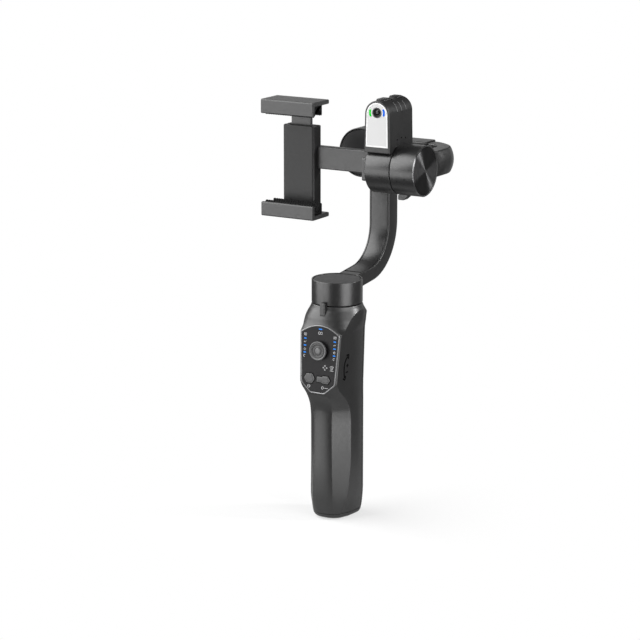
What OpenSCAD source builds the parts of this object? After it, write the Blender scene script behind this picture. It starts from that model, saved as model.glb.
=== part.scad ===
/* [Handle] */
// Height of the handle from its base to the pan motor seam
handle_h = 158.8; // [150:0.1:175]
// Half width of the grip at its flat sides
grip_half_w = 17; // [16:0.1:19]
// Depth of the grip in front of the pan axis
grip_front = 22; // [21:0.1:25]
// Depth of the grip behind the pan axis
grip_back = 18; // [17:0.1:21]
// Radius of the round neck under the pan motor
neck_r = 18.4; // [18:0.1:19.5]
// Wall of the handle shells
handle_wall = 2; // [1.6:0.1:2.4]
// Place of the split between the front and the back shell, behind the pan axis
split_y = 7.6; // [6:0.1:9]
// Thickness of the cap that closes the base
base_cap_t = 4; // [3:0.1:6]

/* [Tripod socket] */
// Major radius of the quarter inch thread
socket_r = 3.175; // [3:0.005:3.4]
// Depth of the tripod socket
socket_depth = 9; // [7:0.5:12]
// Outer radius of the metal insert
insert_r = 5.5; // [4.8:0.1:6]

/* [Control panel] */
// Height of the panel between its low corners and its top corners
panel_h = 36.3; // [34:0.1:38]
// Height of the crown of the panel above its top corners
panel_crown = 6.2; // [5:0.1:7]
// Height of the chin of the panel below its low corners
panel_chin = 7.3; // [6:0.1:8]
// Half width of the panel at its top corners
panel_top_half = 16.4; // [15.5:0.1:17]
// Half width of the panel at its low corners
panel_low_half = 14.3; // [13.5:0.1:14.8]
// Half width of the flat chin
panel_chin_half = 5.8; // [5:0.1:6.5]
// Width of the bright trim round the panel
trim_w = 1; // [0.8:0.1:1.2]
// How far the trim stands out of the shell
trim_proud = 0.6; // [0.4:0.1:0.9]
// Thickness of the panel plate
panel_t = 1.6; // [1.4:0.1:2]
// Radius of the thumb stick cap
stick_r = 6.9; // [6:0.1:7.2]
// Swing of the gap under the thumb stick cap
stick_gap = 1.6; // [1.5:0.1:2]
// Thickness of the thumb stick cap
stick_t = 1.8; // [1.4:0.1:2.4]
// Width of the power key
key_w = 9.6; // [8.6:0.1:10]
// Height of the power key
key_h = 7.4; // [6.4:0.1:7.8]
// How far the keys stand out of the panel
key_proud = 0.9; // [0.8:0.1:1.4]
// Travel of the keys
key_travel = 0.5; // [0.3:0.1:0.6]

/* [Pan motor] */
// Radius of the pan motor housing
pan_r = 18.5; // [18.3:0.1:20]
// Height of the pan motor housing above its seam
pan_h = 17.1; // [16.5:0.1:20]
// Width of the open seam of each motor
seam_gap = 0.4; // [0.3:0.05:0.6]
// Width of the lug that stands in front of the pan motor seam
lug_w = 4.1; // [3:0.1:5]
// Height of that lug
lug_h = 9.7; // [8:0.1:12]

/* [Riser arm] */
// Width of the riser arm
arm_w = 16.9; // [15:0.1:18]
// Thickness of the riser arm where it stands upright
arm_t = 13; // [11:0.1:14]
// Distance from the pan axis to the front face of the upright stretch
arm_reach = 60.9; // [58:0.1:66]
// Radius of the inner bend of the riser arm
arm_bend_r = 28; // [24:0.5:30]
// Rise of the low stretch of the arm, in degrees
arm_rise = 6.2; // [4:0.1:8]
// Thickness of the riser arm at the pan motor
arm_foot_t = 10; // [9:0.1:11]

/* [Roll motor] */
// Height of the roll axis above the top of the pan motor
roll_above = 86.8; // [84:0.1:92]
// Radius of the roll and tilt motors
motor_r = 18; // [17.8:0.1:19]
// Distance from the pan axis to the front face of the roll motor
roll_face_y = 33; // [32.8:0.1:35]
// Length of the turning half of the roll motor
roll_bell_l = 19; // [18:0.1:20]

/* [Roll arm] */
// Distance from the roll axis to the outer face of the roll arm
band_reach = 77.8; // [77:0.1:80]
// Thickness of the roll arm
band_t = 11; // [10:0.1:12]
// Height of the roll arm
band_h = 18.5; // [17:0.1:20]
// Outer radius of the corner of the roll arm
band_corner_r = 23.5; // [20:0.5:25]
// How far the middle of the roll arm lies above the roll axis
band_lift = 1.9; // [1:0.1:3]
// Wall of the sleeve that holds the roll arm
sleeve_wall = 2.3; // [1.8:0.1:2.4]
// Distance from the end of the sleeve to the bend of the roll arm
sleeve_to_bend = 0.3; // [0.3:0.1:6]

/* [Tilt motor] */
// Distance of the tilt axis in front of the pan axis
tilt_front = 12; // [11:0.1:13]
// Length of the turning half of the tilt motor
tilt_bell_l = 19.7; // [18:0.1:21]
// Length of the still half of the tilt motor, with its end disc
tilt_cup_l = 19; // [18:0.1:20]
// How far the end of the tilt motor stands out past the roll arm
tilt_end_proud = 0.5; // [0.3:0.1:1.5]

/* [Phone clamp] */
// Width of the phone that the jaws are set to
phone_w = 70.6; // [66:0.1:78]
// Thickness of the phone that the jaws are set to
phone_t = 8; // [7:0.1:9]
// Distance from the tilt axis to the front face of the phone
phone_face = 4.5; // [4:0.1:5]
// Width of the jaws
jaw_w = 43.5; // [36:0.5:46]
// Distance from the roll axis to the middle of the jaws
jaw_x = 29.15; // [28:0.1:32]
// Depth of the jaws from front to back
jaw_depth = 22.8; // [22:0.1:25]
// Height of the lip of each jaw
jaw_lip_h = 10.3; // [9:0.1:12]
// Thickness of the lip of each jaw
jaw_lip_t = 2.8; // [2.2:0.1:3]
// Thickness of the plate of each jaw
jaw_plate_t = 3.2; // [2.6:0.1:3.4]
// How far each lip reaches over the phone
jaw_bite = 3.3; // [2.5:0.1:4]
// Width of the clamp spine
spine_w = 26; // [22:0.5:30]
// How far the upper jaw closes from the setting shown
jaw_close = 12; // [8:0.5:12]
// How far the upper jaw opens from the setting shown
jaw_open = 16; // [10:0.5:18]

/* [Tracker module] */
// Width of the tracker at its foot
tracker_w = 20.5; // [19:0.1:20.8]
// Width of the tracker at its crown
tracker_crown_w = 19.4; // [18:0.1:20]
// Height of the tracker above the tilt axis
tracker_top = 49; // [46:0.1:52]
// Height of the foot of its front wall above the tilt axis
tracker_foot = 12.5; // [11:0.1:14]
// Distance of its front face before the tilt axis
tracker_front_y = 17; // [16:0.1:17.8]
// Distance of its back face behind the tilt axis
tracker_back_y = 16.7; // [15.5:0.1:17.8]
// Radius of the lens ring
lens_r = 3.7; // [3:0.1:4.2]
// Travel of the push button on the tracker
button_travel = 0.5; // [0.3:0.1:0.8]
// Travel of the ribbed switch on the tracker
switch_travel = 2; // [1:0.1:2.4]

/* [Hidden] */
$fn = 96;

// Clearances: a part in its seat, a running shaft, a moving part beside a fixed one, and the overrun of a cut
seat_fit = 0.03;
run_fit = 0.03;
free_gap = 0.3;
over = 1;

// The motors' bearing tube and the pan motor's mounting plate
tube_r = 9.5;
pan_mount_t = 4;
// The flange of the tripod insert
insert_flange_t = 2;
insert_flange_r = insert_r + 1.8;

// Heights and places of the three axes
pan_seam_z = handle_h;
pan_top_z = handle_h + seam_gap + pan_h;
roll_z = pan_top_z + roll_above;
tilt_y = -tilt_front;

// A rectangle with round corners
module round_rect(w, h, r) {
    square([w - r * 2, h], center = true);
    square([w, h - r * 2], center = true);
    for (sx = [-1, 1], sy = [-1, 1])
        translate([sx * (w / 2 - r), sy * (h / 2 - r)]) circle(r = r);
}

// A ring along Z
module ring(r_out, r_in, h) {
    difference() {
        cylinder(r = r_out, h = h);
        translate([0, 0, -over]) cylinder(r = r_in, h = h + over * 2);
    }
}

// A convex outline drawn in by d, its points given against the clock
function unit(v) = v / norm(v);
function left_of(v) = [-v[1], v[0]];
function drawn_in(p, d) = [
    for (i = [0 : len(p) - 1])
        let (
            n = len(p),
            n1 = left_of(unit(p[i] - p[(i + n - 1) % n])),
            n2 = left_of(unit(p[(i + 1) % n] - p[i]))
        )
        p[i] + d * (n1 + n2) / (1 + n1 * n2)
];

// The handle body. Each row is one level: height over the handle's height, then shares of the grip's
// half width, front depth and back depth: front flat, front, corner across, corner ahead,
// side across, side behind, back, and how far the level has turned into the round neck.
handle_levels_share = [
    [0.000, 0.420, 0.770, 0.620, 0.600, 0.780, 0.300, 0.720, 0],
    [0.007, 0.490, 0.900, 0.710, 0.690, 0.905, 0.350, 0.860, 0],
    [0.023, 0.530, 0.980, 0.760, 0.720, 0.970, 0.389, 0.950, 0],
    [0.055, 0.520, 1.000, 0.840, 0.640, 0.990, 0.422, 0.975, 0],
    [0.124, 0.490, 1.005, 0.930, 0.500, 0.990, 0.422, 0.985, 0],
    [0.298, 0.447, 0.995, 1.000, 0.385, 0.990, 0.422, 0.980, 0],
    [0.456, 0.435, 0.990, 1.000, 0.390, 0.990, 0.422, 0.975, 0],
    [0.512, 0.460, 1.000, 1.000, 0.440, 0.990, 0.422, 0.975, 0],
    [0.550, 0.490, 1.045, 0.988, 0.564, 0.990, 0.422, 0.975, 0],
    [0.581, 0.465, 1.130, 0.959, 0.740, 0.985, 0.422, 0.975, 0],
    [0.603, 0.430, 1.205, 0.930, 0.905, 0.985, 0.422, 0.975, 0],
    [0.629, 0.610, 1.234, 0.915, 1.090, 0.985, 0.422, 0.980, 0],
    [0.654, 0.865, 1.227, 0.900, 1.200, 0.990, 0.422, 0.990, 0],
    [0.879, 0.980, 1.073, 1.005, 1.036, 1.040, 0.422, 1.030, 0],
    [0.914, 0.980, 1.030, 1.025, 0.900, 1.060, 0.422, 1.040, 0.08],
    [0.944, 0.960, 0.970, 1.030, 0.800, 1.065, 0.422, 1.045, 0.3],
    [0.9695, 0.900, 0.900, 1.020, 0.720, 1.070, 0.422, 1.045, 0.6],
    [0.988, 0.860, 0.850, 1.010, 0.650, 1.070, 0.422, 1.040, 0.88],
    [1.000, 0.800, 0.830, 1.000, 0.600, 1.070, 0.422, 1.030, 1]
];
// Directions that the points of a level take as it turns into the round neck, front to back
neck_turns = [-90, -66, -56, -46, -36, -26, -6, 16, 30, 42, 54, 66, 78, 90];
facet_sag_share = 0.06;

function side_points(lv) =
    let (
        p1 = [lv[1] * grip_half_w, -lv[2] * grip_front],
        p2 = [lv[3] * grip_half_w, -lv[4] * grip_front],
        p3 = [lv[5] * grip_half_w, lv[6] * grip_back],
        in_dir = left_of(unit(p2 - p1)),
        sag = facet_sag_share * norm(p2 - p1)
    )
    concat(
        [[0, p1[1]], p1],
        [for (k = [1 : 3]) p1 + (p2 - p1) * k / 4 + in_dir * sag * sin(180 * k / 4)],
        [p2, (p2 + p3) / 2, p3],
        [for (k = [1 : 6]) [
            p3[0] * cos(15 * k),
            p3[1] + (lv[7] * grip_back - p3[1]) * sin(15 * k)
        ]]
    );
function half_level(lv) =
    let (s = side_points(lv))
    [for (i = [0 : len(s) - 1])
        s[i] * (1 - lv[8]) + neck_r * lv[8] * [cos(neck_turns[i]), sin(neck_turns[i])]];
function whole_level(lv) =
    let (h = half_level(lv), n = len(h))
    concat(h, [for (i = [n - 2 : -1 : 1]) [-h[i][0], h[i][1]]]);

module handle_body() {
    levels = [for (lv = handle_levels_share) whole_level(lv)];
    n = len(levels[0]);
    m = len(levels);
    points = [for (k = [0 : m - 1]) for (p = levels[k]) [p[0], p[1], handle_levels_share[k][0] * handle_h]];
    sides = [
        for (k = [0 : m - 2]) for (i = [0 : n - 1]) for (f = [
            [k * n + i, (k + 1) * n + i, (k + 1) * n + (i + 1) % n],
            [k * n + i, (k + 1) * n + (i + 1) % n, k * n + (i + 1) % n]
        ]) f
    ];
    polyhedron(
        points = points,
        faces = concat(sides, [[for (i = [0 : n - 1]) i]], [[for (i = [n - 1 : -1 : 0]) (m - 1) * n + i]])
    );
}

// The hollow of the handle: the battery well below, the board space behind the panel above
well_half_w = grip_half_w - handle_wall - 0.6;
well_front = grip_front - handle_wall - 0.8;
well_back = grip_back - handle_wall - 1.2;
board_space_z = handle_h * 0.63;
neck_bore_r = neck_r - handle_wall - 1;
module well_outline() {
    polygon([
        [-well_half_w * 0.34, -well_front], [well_half_w * 0.34, -well_front],
        [well_half_w * 0.98, -well_front * 0.3], [well_half_w * 0.98, well_back * 0.42],
        [well_half_w * 0.55, well_back], [-well_half_w * 0.55, well_back],
        [-well_half_w * 0.98, well_back * 0.42], [-well_half_w * 0.98, -well_front * 0.3]
    ]);
}
module handle_hollow() {
    translate([0, 0, base_cap_t + insert_flange_t])
        linear_extrude(handle_h - base_cap_t - insert_flange_t - pan_mount_t - handle_wall * 2) well_outline();
    translate([-well_half_w * 0.9, -grip_front * 1.02, board_space_z])
        cube([well_half_w * 1.8, grip_front * 1.02 + well_back * 0.6, handle_h * 0.88 - board_space_z]);
    translate([0, 0, handle_h - pan_mount_t - handle_wall * 2 - over])
        cylinder(r = tube_r, h = handle_wall * 2 + over * 2);
    translate([0, 0, handle_h - pan_mount_t]) cylinder(r = neck_bore_r, h = pan_mount_t + over);
}
module behind_split() {
    translate([-grip_half_w * 2, split_y, -over]) cube([grip_half_w * 4, grip_back * 2, handle_h + over * 2]);
}

// The frame of the panel: X across, Y up the panel, Z out of it, on the shell's front face
panel_low_z = handle_levels_share[12][0] * handle_h;
panel_low_y = handle_levels_share[12][2] * grip_front;
panel_high_z = handle_levels_share[13][0] * handle_h;
panel_high_y = handle_levels_share[13][2] * grip_front;
panel_lean = atan2(panel_low_y - panel_high_y, panel_high_z - panel_low_z);
module on_panel(x = 0, y = 0, z = 0) {
    translate([0, -(panel_low_y + panel_high_y) / 2, (panel_low_z + panel_high_z) / 2])
        rotate([90 - panel_lean, 0, 0]) translate([x, y, z]) children();
}
crown_steps = 12;
function panel_outline() = concat(
    [[-panel_chin_half, -panel_h / 2 - panel_chin], [panel_chin_half, -panel_h / 2 - panel_chin]],
    [[panel_low_half, -panel_h / 2]],
    [for (k = [0 : crown_steps]) let (t = 1 - 2 * k / crown_steps)
        [panel_top_half * t, panel_h / 2 + panel_crown * (1 - t * t)]],
    [[-panel_low_half, -panel_h / 2]]
);
panel_recess = panel_t + handle_wall * 0.4;
module panel_prism(inset, low, high) {
    on_panel(0, 0, low) linear_extrude(high - low) polygon(drawn_in(panel_outline(), inset));
}

// Places on the panel
stick_y = panel_h * 0.165;
power_key_x = -panel_low_half * 0.50;
mode_key_x = panel_low_half * 0.43;
keys_y = -panel_h * 0.41;
led_x = panel_top_half * 0.75;
led_w = 2.4;
led_h = 1.1;
led_rise = panel_h * 0.14;
led_mid_y = panel_h * 0.235;
top_led_y = panel_h * 0.59;
stick_stem_r = 2;
stick_hole_r = stick_r * 0.72;
pivot_depth = 2.5;
guide_depth = 1.2;
switch_h = 1.4;
key_flange = 0.7;
board_t = 1.2;
board_depth = panel_t + key_flange + key_travel + switch_h + free_gap * 2;

module key_outline(w, h) {
    polygon([
        [-w / 2, 0], [-w / 4, -h / 2], [w / 4, -h / 2], [w / 2, 0], [w / 4, h / 2], [-w / 4, h / 2]
    ]);
}
module power_key_outline(grow = 0) {
    key_outline(key_w + grow * 2, key_h + grow * 2);
}
mode_pad_w = key_w * 0.92;
mode_pad_h = key_h * 0.82;
mode_bar_l = key_w * 0.66;
mode_bar_h = key_h * 0.6;
module mode_key_outline(grow = 0) {
    key_outline(mode_pad_w + grow * 2, mode_pad_h + grow * 2);
    translate([-mode_bar_l - grow, -mode_bar_h / 2 - grow]) square([mode_bar_l + grow, mode_bar_h + grow * 2]);
}
module led_places() {
    for (sx = [-1, 1], k = [-1 : 1]) translate([sx * led_x, led_mid_y + k * led_rise]) children();
    translate([0, top_led_y]) children();
}

// Base and battery
cell_r = 9.3;
cell_l = 65;
cell_y = -4;
cradle_t = 1.2;
cell_z = base_cap_t + insert_flange_t + socket_depth - base_cap_t + cradle_t + 1;

module base_cap() {
    color("#2b2c2e") difference() {
        intersection() {
            handle_body();
            translate([-grip_half_w * 2, -grip_front * 2, 0])
                cube([grip_half_w * 4, grip_front * 4, base_cap_t]);
        }
        translate([0, 0, -over]) cylinder(r = insert_r + seat_fit, h = base_cap_t + over * 2);
    }
}
module tripod_insert() {
    color("#b98c4a") difference() {
        union() {
            cylinder(r = insert_r, h = base_cap_t + insert_flange_t / 2);
            translate([0, 0, base_cap_t + seat_fit]) cylinder(r = insert_flange_r, h = insert_flange_t);
            cylinder(r = insert_r, h = socket_depth + base_cap_t / 2);
        }
        translate([0, 0, -over]) cylinder(r = socket_r, h = socket_depth + over);
    }
}
screw_r = 1.2;
screw_head_r = 2.2;
screw_head_t = 1.4;
boss_r = 2.6;
screw_z_share = [0.12, 0.52, 0.84];
screw_x = grip_half_w * 0.72;
screw_l = grip_back * 0.5;
module screw_places() {
    for (s = screw_z_share, sx = [-1, 1]) translate([sx * screw_x, 0, s * handle_h]) children();
}
screw_tail_y = split_y - screw_l * 0.5;
module screw_bosses(low_y, high_y) {
    screw_places() translate([0, high_y, 0]) rotate([90, 0, 0]) cylinder(r = boss_r, h = high_y - low_y, $fn = 48);
}
usb_w = 9;
usb_h = 3.3;
usb_z = handle_h * 0.72;
usb_y = -grip_front * 0.1;
usb_l = 7;

module handle_front() {
    color("#333436") difference() {
        union() {
            difference() {
                handle_body();
                handle_hollow();
                behind_split();
                translate([-grip_half_w * 2, -grip_front * 2, -over])
                    cube([grip_half_w * 4, grip_front * 4, base_cap_t + seat_fit + over]);
            }
            intersection() {
                handle_body();
                screw_bosses(screw_tail_y - boss_r, split_y);
            }
        }
        screw_places() translate([0, split_y + over, 0]) rotate([90, 0, 0])
            cylinder(r = screw_r + seat_fit, h = split_y - screw_tail_y + over, $fn = 48);
        panel_prism(-seat_fit, -panel_recess, grip_front);
        on_panel(0, 0, -grip_front * 0.5) linear_extrude(grip_front)
            polygon(drawn_in(panel_outline(), trim_w * 1.6));
        cylinder(r = insert_flange_r + seat_fit, h = base_cap_t + insert_flange_t + socket_depth);
        usb_cut(0);
    }
}
module usb_cut(grow) {
    translate([-grip_half_w * 1.2, usb_y, usb_z]) rotate([90, 0, 90])
        linear_extrude(grip_half_w * 1.2 - well_half_w * 0.86 + grow)
            round_rect(usb_h + seat_fit * 2, usb_w + seat_fit * 2, usb_h * 0.49);
}
module handle_back() {
    color("#333436") difference() {
        union() {
            difference() {
                intersection() {
                    handle_body();
                    behind_split();
                }
                handle_hollow();
                translate([-grip_half_w * 2, -grip_front * 2, -over])
                    cube([grip_half_w * 4, grip_front * 4, base_cap_t + seat_fit + over]);
            }
            intersection() {
                handle_body();
                screw_bosses(split_y, grip_back * 2);
            }
        }
        screw_places() translate([0, split_y + screw_l * 0.5, 0]) rotate([90, 0, 0])
            cylinder(r = screw_r + seat_fit, h = screw_l, $fn = 48);
        screw_places() translate([0, grip_back * 2, 0]) rotate([90, 0, 0])
            cylinder(r = screw_head_r + seat_fit, h = grip_back * 2 - split_y - screw_l * 0.4, $fn = 48);
        cylinder(r = insert_flange_r + seat_fit, h = base_cap_t + insert_flange_t + socket_depth);
    }
}
module shell_screws() {
    color("#8d8f92") screw_places() {
        translate([0, split_y + screw_l * 0.4, 0]) rotate([90, 0, 0])
            cylinder(r = screw_r, h = split_y + screw_l * 0.4 - screw_tail_y - seat_fit, $fn = 48);
        translate([0, split_y + screw_l * 0.4 + screw_head_t, 0]) rotate([90, 0, 0])
            cylinder(r = screw_head_r, h = screw_head_t, $fn = 48);
    }
}
module battery_cell() {
    color("#2f6db0") translate([0, cell_y, cell_z]) {
        cylinder(r = cell_r, h = cell_l);
        translate([0, 0, cell_l]) cylinder(r = cell_r * 0.35, h = cradle_t * 0.6);
    }
}
module battery_cradle() {
    color("#1f2022") translate([0, cell_y, cell_z - cradle_t]) difference() {
        union() {
            linear_extrude(cell_l + cradle_t * 3) difference() {
                circle(r = cell_r + cradle_t + seat_fit);
                circle(r = cell_r + seat_fit);
                translate([-cell_r * 0.75, -cell_r * 2]) square([cell_r * 1.5, cell_r * 2]);
            }
            linear_extrude(cradle_t) circle(r = cell_r + cradle_t);
            translate([0, 0, cell_l + cradle_t * 1.7]) linear_extrude(cradle_t * 1.3)
                circle(r = cell_r + cradle_t);
        }
        translate([-cell_r * 0.2, cell_r * 0.2, -over]) cube([cell_r * 0.4, cell_r * 0.4, cradle_t + over * 2]);
    }
}
module main_board() {
    color("#1f5c3a") difference() {
        on_panel(0, -panel_h * 0.03, -board_depth - board_t)
            linear_extrude(board_t) round_rect(well_half_w * 1.7, panel_h * 1.02, board_t);
        on_panel(0, stick_y, -board_depth - board_t - over)
            linear_extrude(board_t + over * 2) square(stick_box_w + seat_fit * 2, center = true);
    }
}
module usb_socket() {
    color("#9a9ca0") translate([-grip_half_w * 1.04, usb_y, usb_z]) rotate([90, 0, 90]) difference() {
        linear_extrude(usb_l) round_rect(usb_h, usb_w, usb_h * 0.49);
        translate([0, 0, -over]) linear_extrude(usb_l * 0.8 + over)
            round_rect(usb_h * 0.76, usb_w * 0.9, usb_h * 0.37);
    }
}
module panel_trim() {
    color("#a7a8ab") difference() {
        panel_prism(0, -panel_recess + seat_fit, trim_proud);
        panel_prism(trim_w, -panel_recess - over, trim_proud + over);
    }
}
module control_panel() {
    color("#26262a") difference() {
        panel_prism(trim_w + seat_fit, -panel_t, 0);
        on_panel(0, stick_y, -panel_t - over) cylinder(r = stick_hole_r, h = panel_t + over * 2);
        on_panel(power_key_x, keys_y, -panel_t - over)
            linear_extrude(panel_t + over * 2) power_key_outline(free_gap);
        on_panel(mode_key_x, keys_y, -panel_t - over)
            linear_extrude(panel_t + over * 2) mode_key_outline(free_gap);
        on_panel(0, 0, -panel_t - over) led_places()
            linear_extrude(panel_t + over * 2)
                square([led_w + seat_fit * 2, led_h + seat_fit * 2], center = true);
    }
}
module light_guides() {
    color("#3f8cff") on_panel(0, 0, -panel_t - guide_depth) led_places()
        linear_extrude(panel_t + guide_depth) square([led_w, led_h], center = true);
}
module key_switches() {
    color("#8b8d90") on_panel(0, keys_y, -board_depth + seat_fit) {
        for (x = [power_key_x, mode_key_x]) translate([x, 0, 0])
            linear_extrude(switch_h - seat_fit) square([key_w * 0.5, key_h * 0.6], center = true);
    }
}
module key_solid(flange) {
    translate([0, 0, -panel_t - free_gap * 0.2]) linear_extrude(panel_t + free_gap * 0.2 + key_proud) children(0);
    translate([0, 0, -panel_t - key_flange - free_gap * 0.2]) linear_extrude(key_flange) children(1);
}
module power_key() {
    color("#5b5c60") on_panel(power_key_x, keys_y) key_solid() {
        power_key_outline();
        power_key_outline(free_gap * 1.8);
    }
}
module mode_key() {
    color("#5b5c60") on_panel(mode_key_x, keys_y) key_solid() {
        mode_key_outline();
        mode_key_outline(free_gap * 1.4);
    }
}
stick_box_w = 12;
stick_box_h = 7;
yoke_r = 3.9;
yoke_wall = 1.1;
yoke_h = 2.2;
yoke_pin_r = 0.6;
ball_r = 2.1;
module stick_module() {
    color("#3c3d40") on_panel(0, stick_y, -pivot_depth) difference() {
        translate([-stick_box_w / 2, -stick_box_w / 2, -stick_box_h]) cube([stick_box_w, stick_box_w, stick_box_h + yoke_pin_r]);
        translate([0, 0, -stick_box_h * 0.7]) cylinder(r = yoke_r + free_gap * 2, h = stick_box_h * 2);
        rotate([0, 90, 0]) cylinder(r = yoke_pin_r + run_fit, h = yoke_r * 2 + stick_box_w * 0.3, center = true, $fn = 48);
    }
}
module stick_yoke() {
    color("#8b8d90") on_panel(0, stick_y, -pivot_depth) difference() {
        union() {
            translate([0, 0, -yoke_h / 2]) cylinder(r = yoke_r, h = yoke_h);
            rotate([0, 90, 0]) cylinder(r = yoke_pin_r, h = yoke_r * 2 + stick_box_w * 0.2, center = true, $fn = 48);
        }
        translate([0, 0, -yoke_h]) cylinder(r = yoke_r - yoke_wall, h = yoke_h * 2);
        rotate([90, 0, 0]) cylinder(r = yoke_pin_r + run_fit, h = yoke_r * 3, center = true, $fn = 48);
    }
}
module stick_cap() {
    color("#6d6e72") on_panel(0, stick_y, 0) {
        difference() {
            union() {
                translate([0, 0, stick_gap]) cylinder(r = stick_r, h = stick_t);
                translate([0, 0, -pivot_depth]) cylinder(r = stick_stem_r, h = pivot_depth + stick_gap + stick_t / 2);
                translate([0, 0, -pivot_depth]) sphere(r = ball_r);
                translate([0, 0, -pivot_depth]) rotate([90, 0, 0])
                    cylinder(r = yoke_pin_r, h = yoke_r * 2 - yoke_wall * 0.4, center = true, $fn = 48);
            }
            translate([0, 0, stick_gap + stick_t * 0.8]) ring(stick_r * 0.84, stick_r * 0.5, stick_t);
        }
    }
}
lug_t = 2.8;
module pan_lug() {
    color("#77787b") difference() {
        translate([-lug_w / 2, -pan_r - free_gap - lug_t, pan_seam_z + lug_h * 0.3 - lug_h])
            cube([lug_w, lug_t + pan_r * 0.4, lug_h]);
        translate([0, 0, pan_seam_z - over * 0.2]) cylinder(r = pan_r + free_gap, h = lug_h);
        handle_body_grown();
    }
}
module handle_body_grown() {
    handle_body();
}

// The motors. Each is drawn along its axis from the face of its fixed half, which is at zero
mount_t = 3;
tube_h = 12.2;
bearing_r = 8;
bearing_t = 3;
shaft_r = 4;
shaft_bore_r = 2.4;
shaft_foot = 2;
hub_r = 6.5;
bell_wall = 1.7;
bell_plate_t = 2;
cap_recess = 0.4;
cap_t = 1;
rim_w = 1.2;
magnet_t = 2;
magnet_h = 10;
air_gap = 0.4;
tooth_count = 12;
poles = 14;

module at_pan() {
    translate([0, 0, pan_seam_z]) children();
}
roll_stator_y = roll_face_y + roll_bell_l + seam_gap;
module at_roll() {
    translate([0, roll_stator_y, roll_z]) rotate([90, 0, 0]) children();
}
tilt_far_x = band_reach + tilt_end_proud;
tilt_stator_x = tilt_far_x - tilt_cup_l;
tilt_seam_x = tilt_stator_x - seam_gap / 2;
tilt_near_x = tilt_seam_x - seam_gap / 2 - tilt_bell_l;
module at_tilt() {
    translate([tilt_stator_x, tilt_y, roll_z]) rotate([0, -90, 0]) children();
}

module bearing_tube() {
    difference() {
        cylinder(r = tube_r, h = tube_h);
        translate([0, 0, -mount_t - over]) cylinder(r = bearing_r + seat_fit, h = tube_h + mount_t + over * 2);
    }
}
module motor_bell(r, len) {
    difference() {
        translate([0, 0, seam_gap]) cylinder(r = r, h = len);
        cylinder(r = r - bell_wall, h = seam_gap + len - bell_plate_t - cap_t - cap_recess);
        translate([0, 0, seam_gap + len - cap_t - cap_recess]) cylinder(r = r - rim_w, h = cap_t * 2);
        cylinder(r = shaft_r + seat_fit, h = seam_gap + len);
    }
    difference() {
        translate([0, 0, tube_h + free_gap * 2])
            cylinder(r = hub_r, h = seam_gap + len - bell_plate_t - cap_t - cap_recess - tube_h - free_gap);
        cylinder(r = shaft_r + seat_fit, h = seam_gap + len);
    }
}
module motor_cap(r, len) {
    translate([0, 0, seam_gap + len - cap_t - cap_recess + seat_fit]) cylinder(r = r - rim_w - seat_fit, h = cap_t);
}
module motor_shaft(len) {
    difference() {
        translate([0, 0, -shaft_foot]) cylinder(r = shaft_r, h = shaft_foot + seam_gap + len - cap_t - cap_recess);
        translate([0, 0, -shaft_foot - over]) cylinder(r = shaft_bore_r, h = len * 2);
    }
}
module motor_magnets(r, len) {
    low = seam_gap + (len - bell_plate_t - cap_t - cap_recess - magnet_h) * 0.5;
    translate([0, 0, low]) difference() {
        ring(r - bell_wall - seat_fit, r - bell_wall - magnet_t, magnet_h);
        for (k = [0 : poles - 1]) rotate([0, 0, k * 360 / poles])
            translate([r - bell_wall - magnet_t * 0.5, 0, magnet_h]) cube([magnet_t * 2, seam_gap, magnet_h * 0.1], center = true);
    }
}
module motor_stator(r, len) {
    low = seam_gap + (len - bell_plate_t - cap_t - cap_recess - magnet_h) * 0.5;
    out_r = r - bell_wall - magnet_t - air_gap;
    translate([0, 0, low]) difference() {
        union() {
            ring(tube_r + magnet_t, tube_r + seat_fit, magnet_h);
            for (k = [0 : tooth_count - 1]) rotate([0, 0, k * 360 / tooth_count]) {
                translate([tube_r + magnet_t * 0.5, -magnet_t * 0.5, magnet_h * 0.05])
                    cube([out_r - tube_r - magnet_t * 0.6, magnet_t, magnet_h * 0.9]);
            }
        }
        translate([0, 0, -over]) cylinder(r = tube_r + seat_fit, h = magnet_h + over * 2);
    }
}
module motor_bearings() {
    for (z = [0, tube_h - bearing_t]) translate([0, 0, z]) ring(bearing_r, shaft_r + run_fit, bearing_t);
}

module pan_mount() {
    color("#8f9195") at_pan() {
        difference() {
            translate([0, 0, -pan_mount_t + seat_fit]) cylinder(r = neck_bore_r - seat_fit, h = pan_mount_t - seat_fit);
            translate([0, 0, -pan_mount_t - over]) cylinder(r = bearing_r + seat_fit, h = pan_mount_t * 3);
        }
        bearing_tube();
    }
}
module pan_stator() {
    color("#b5703a") at_pan() motor_stator(pan_r, pan_h);
}
module pan_bearings() {
    color("#c9cbcf") at_pan() motor_bearings();
}
module pan_bell() {
    color("#3a3b3d") at_pan() motor_bell(pan_r, pan_h);
}
module pan_cap() {
    color("#4a4b4d") at_pan() motor_cap(pan_r, pan_h);
}
module pan_shaft() {
    color("#c9cbcf") at_pan() motor_shaft(pan_h);
}
module pan_magnets() {
    color("#5a5c60") at_pan() motor_magnets(pan_r, pan_h);
}

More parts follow.
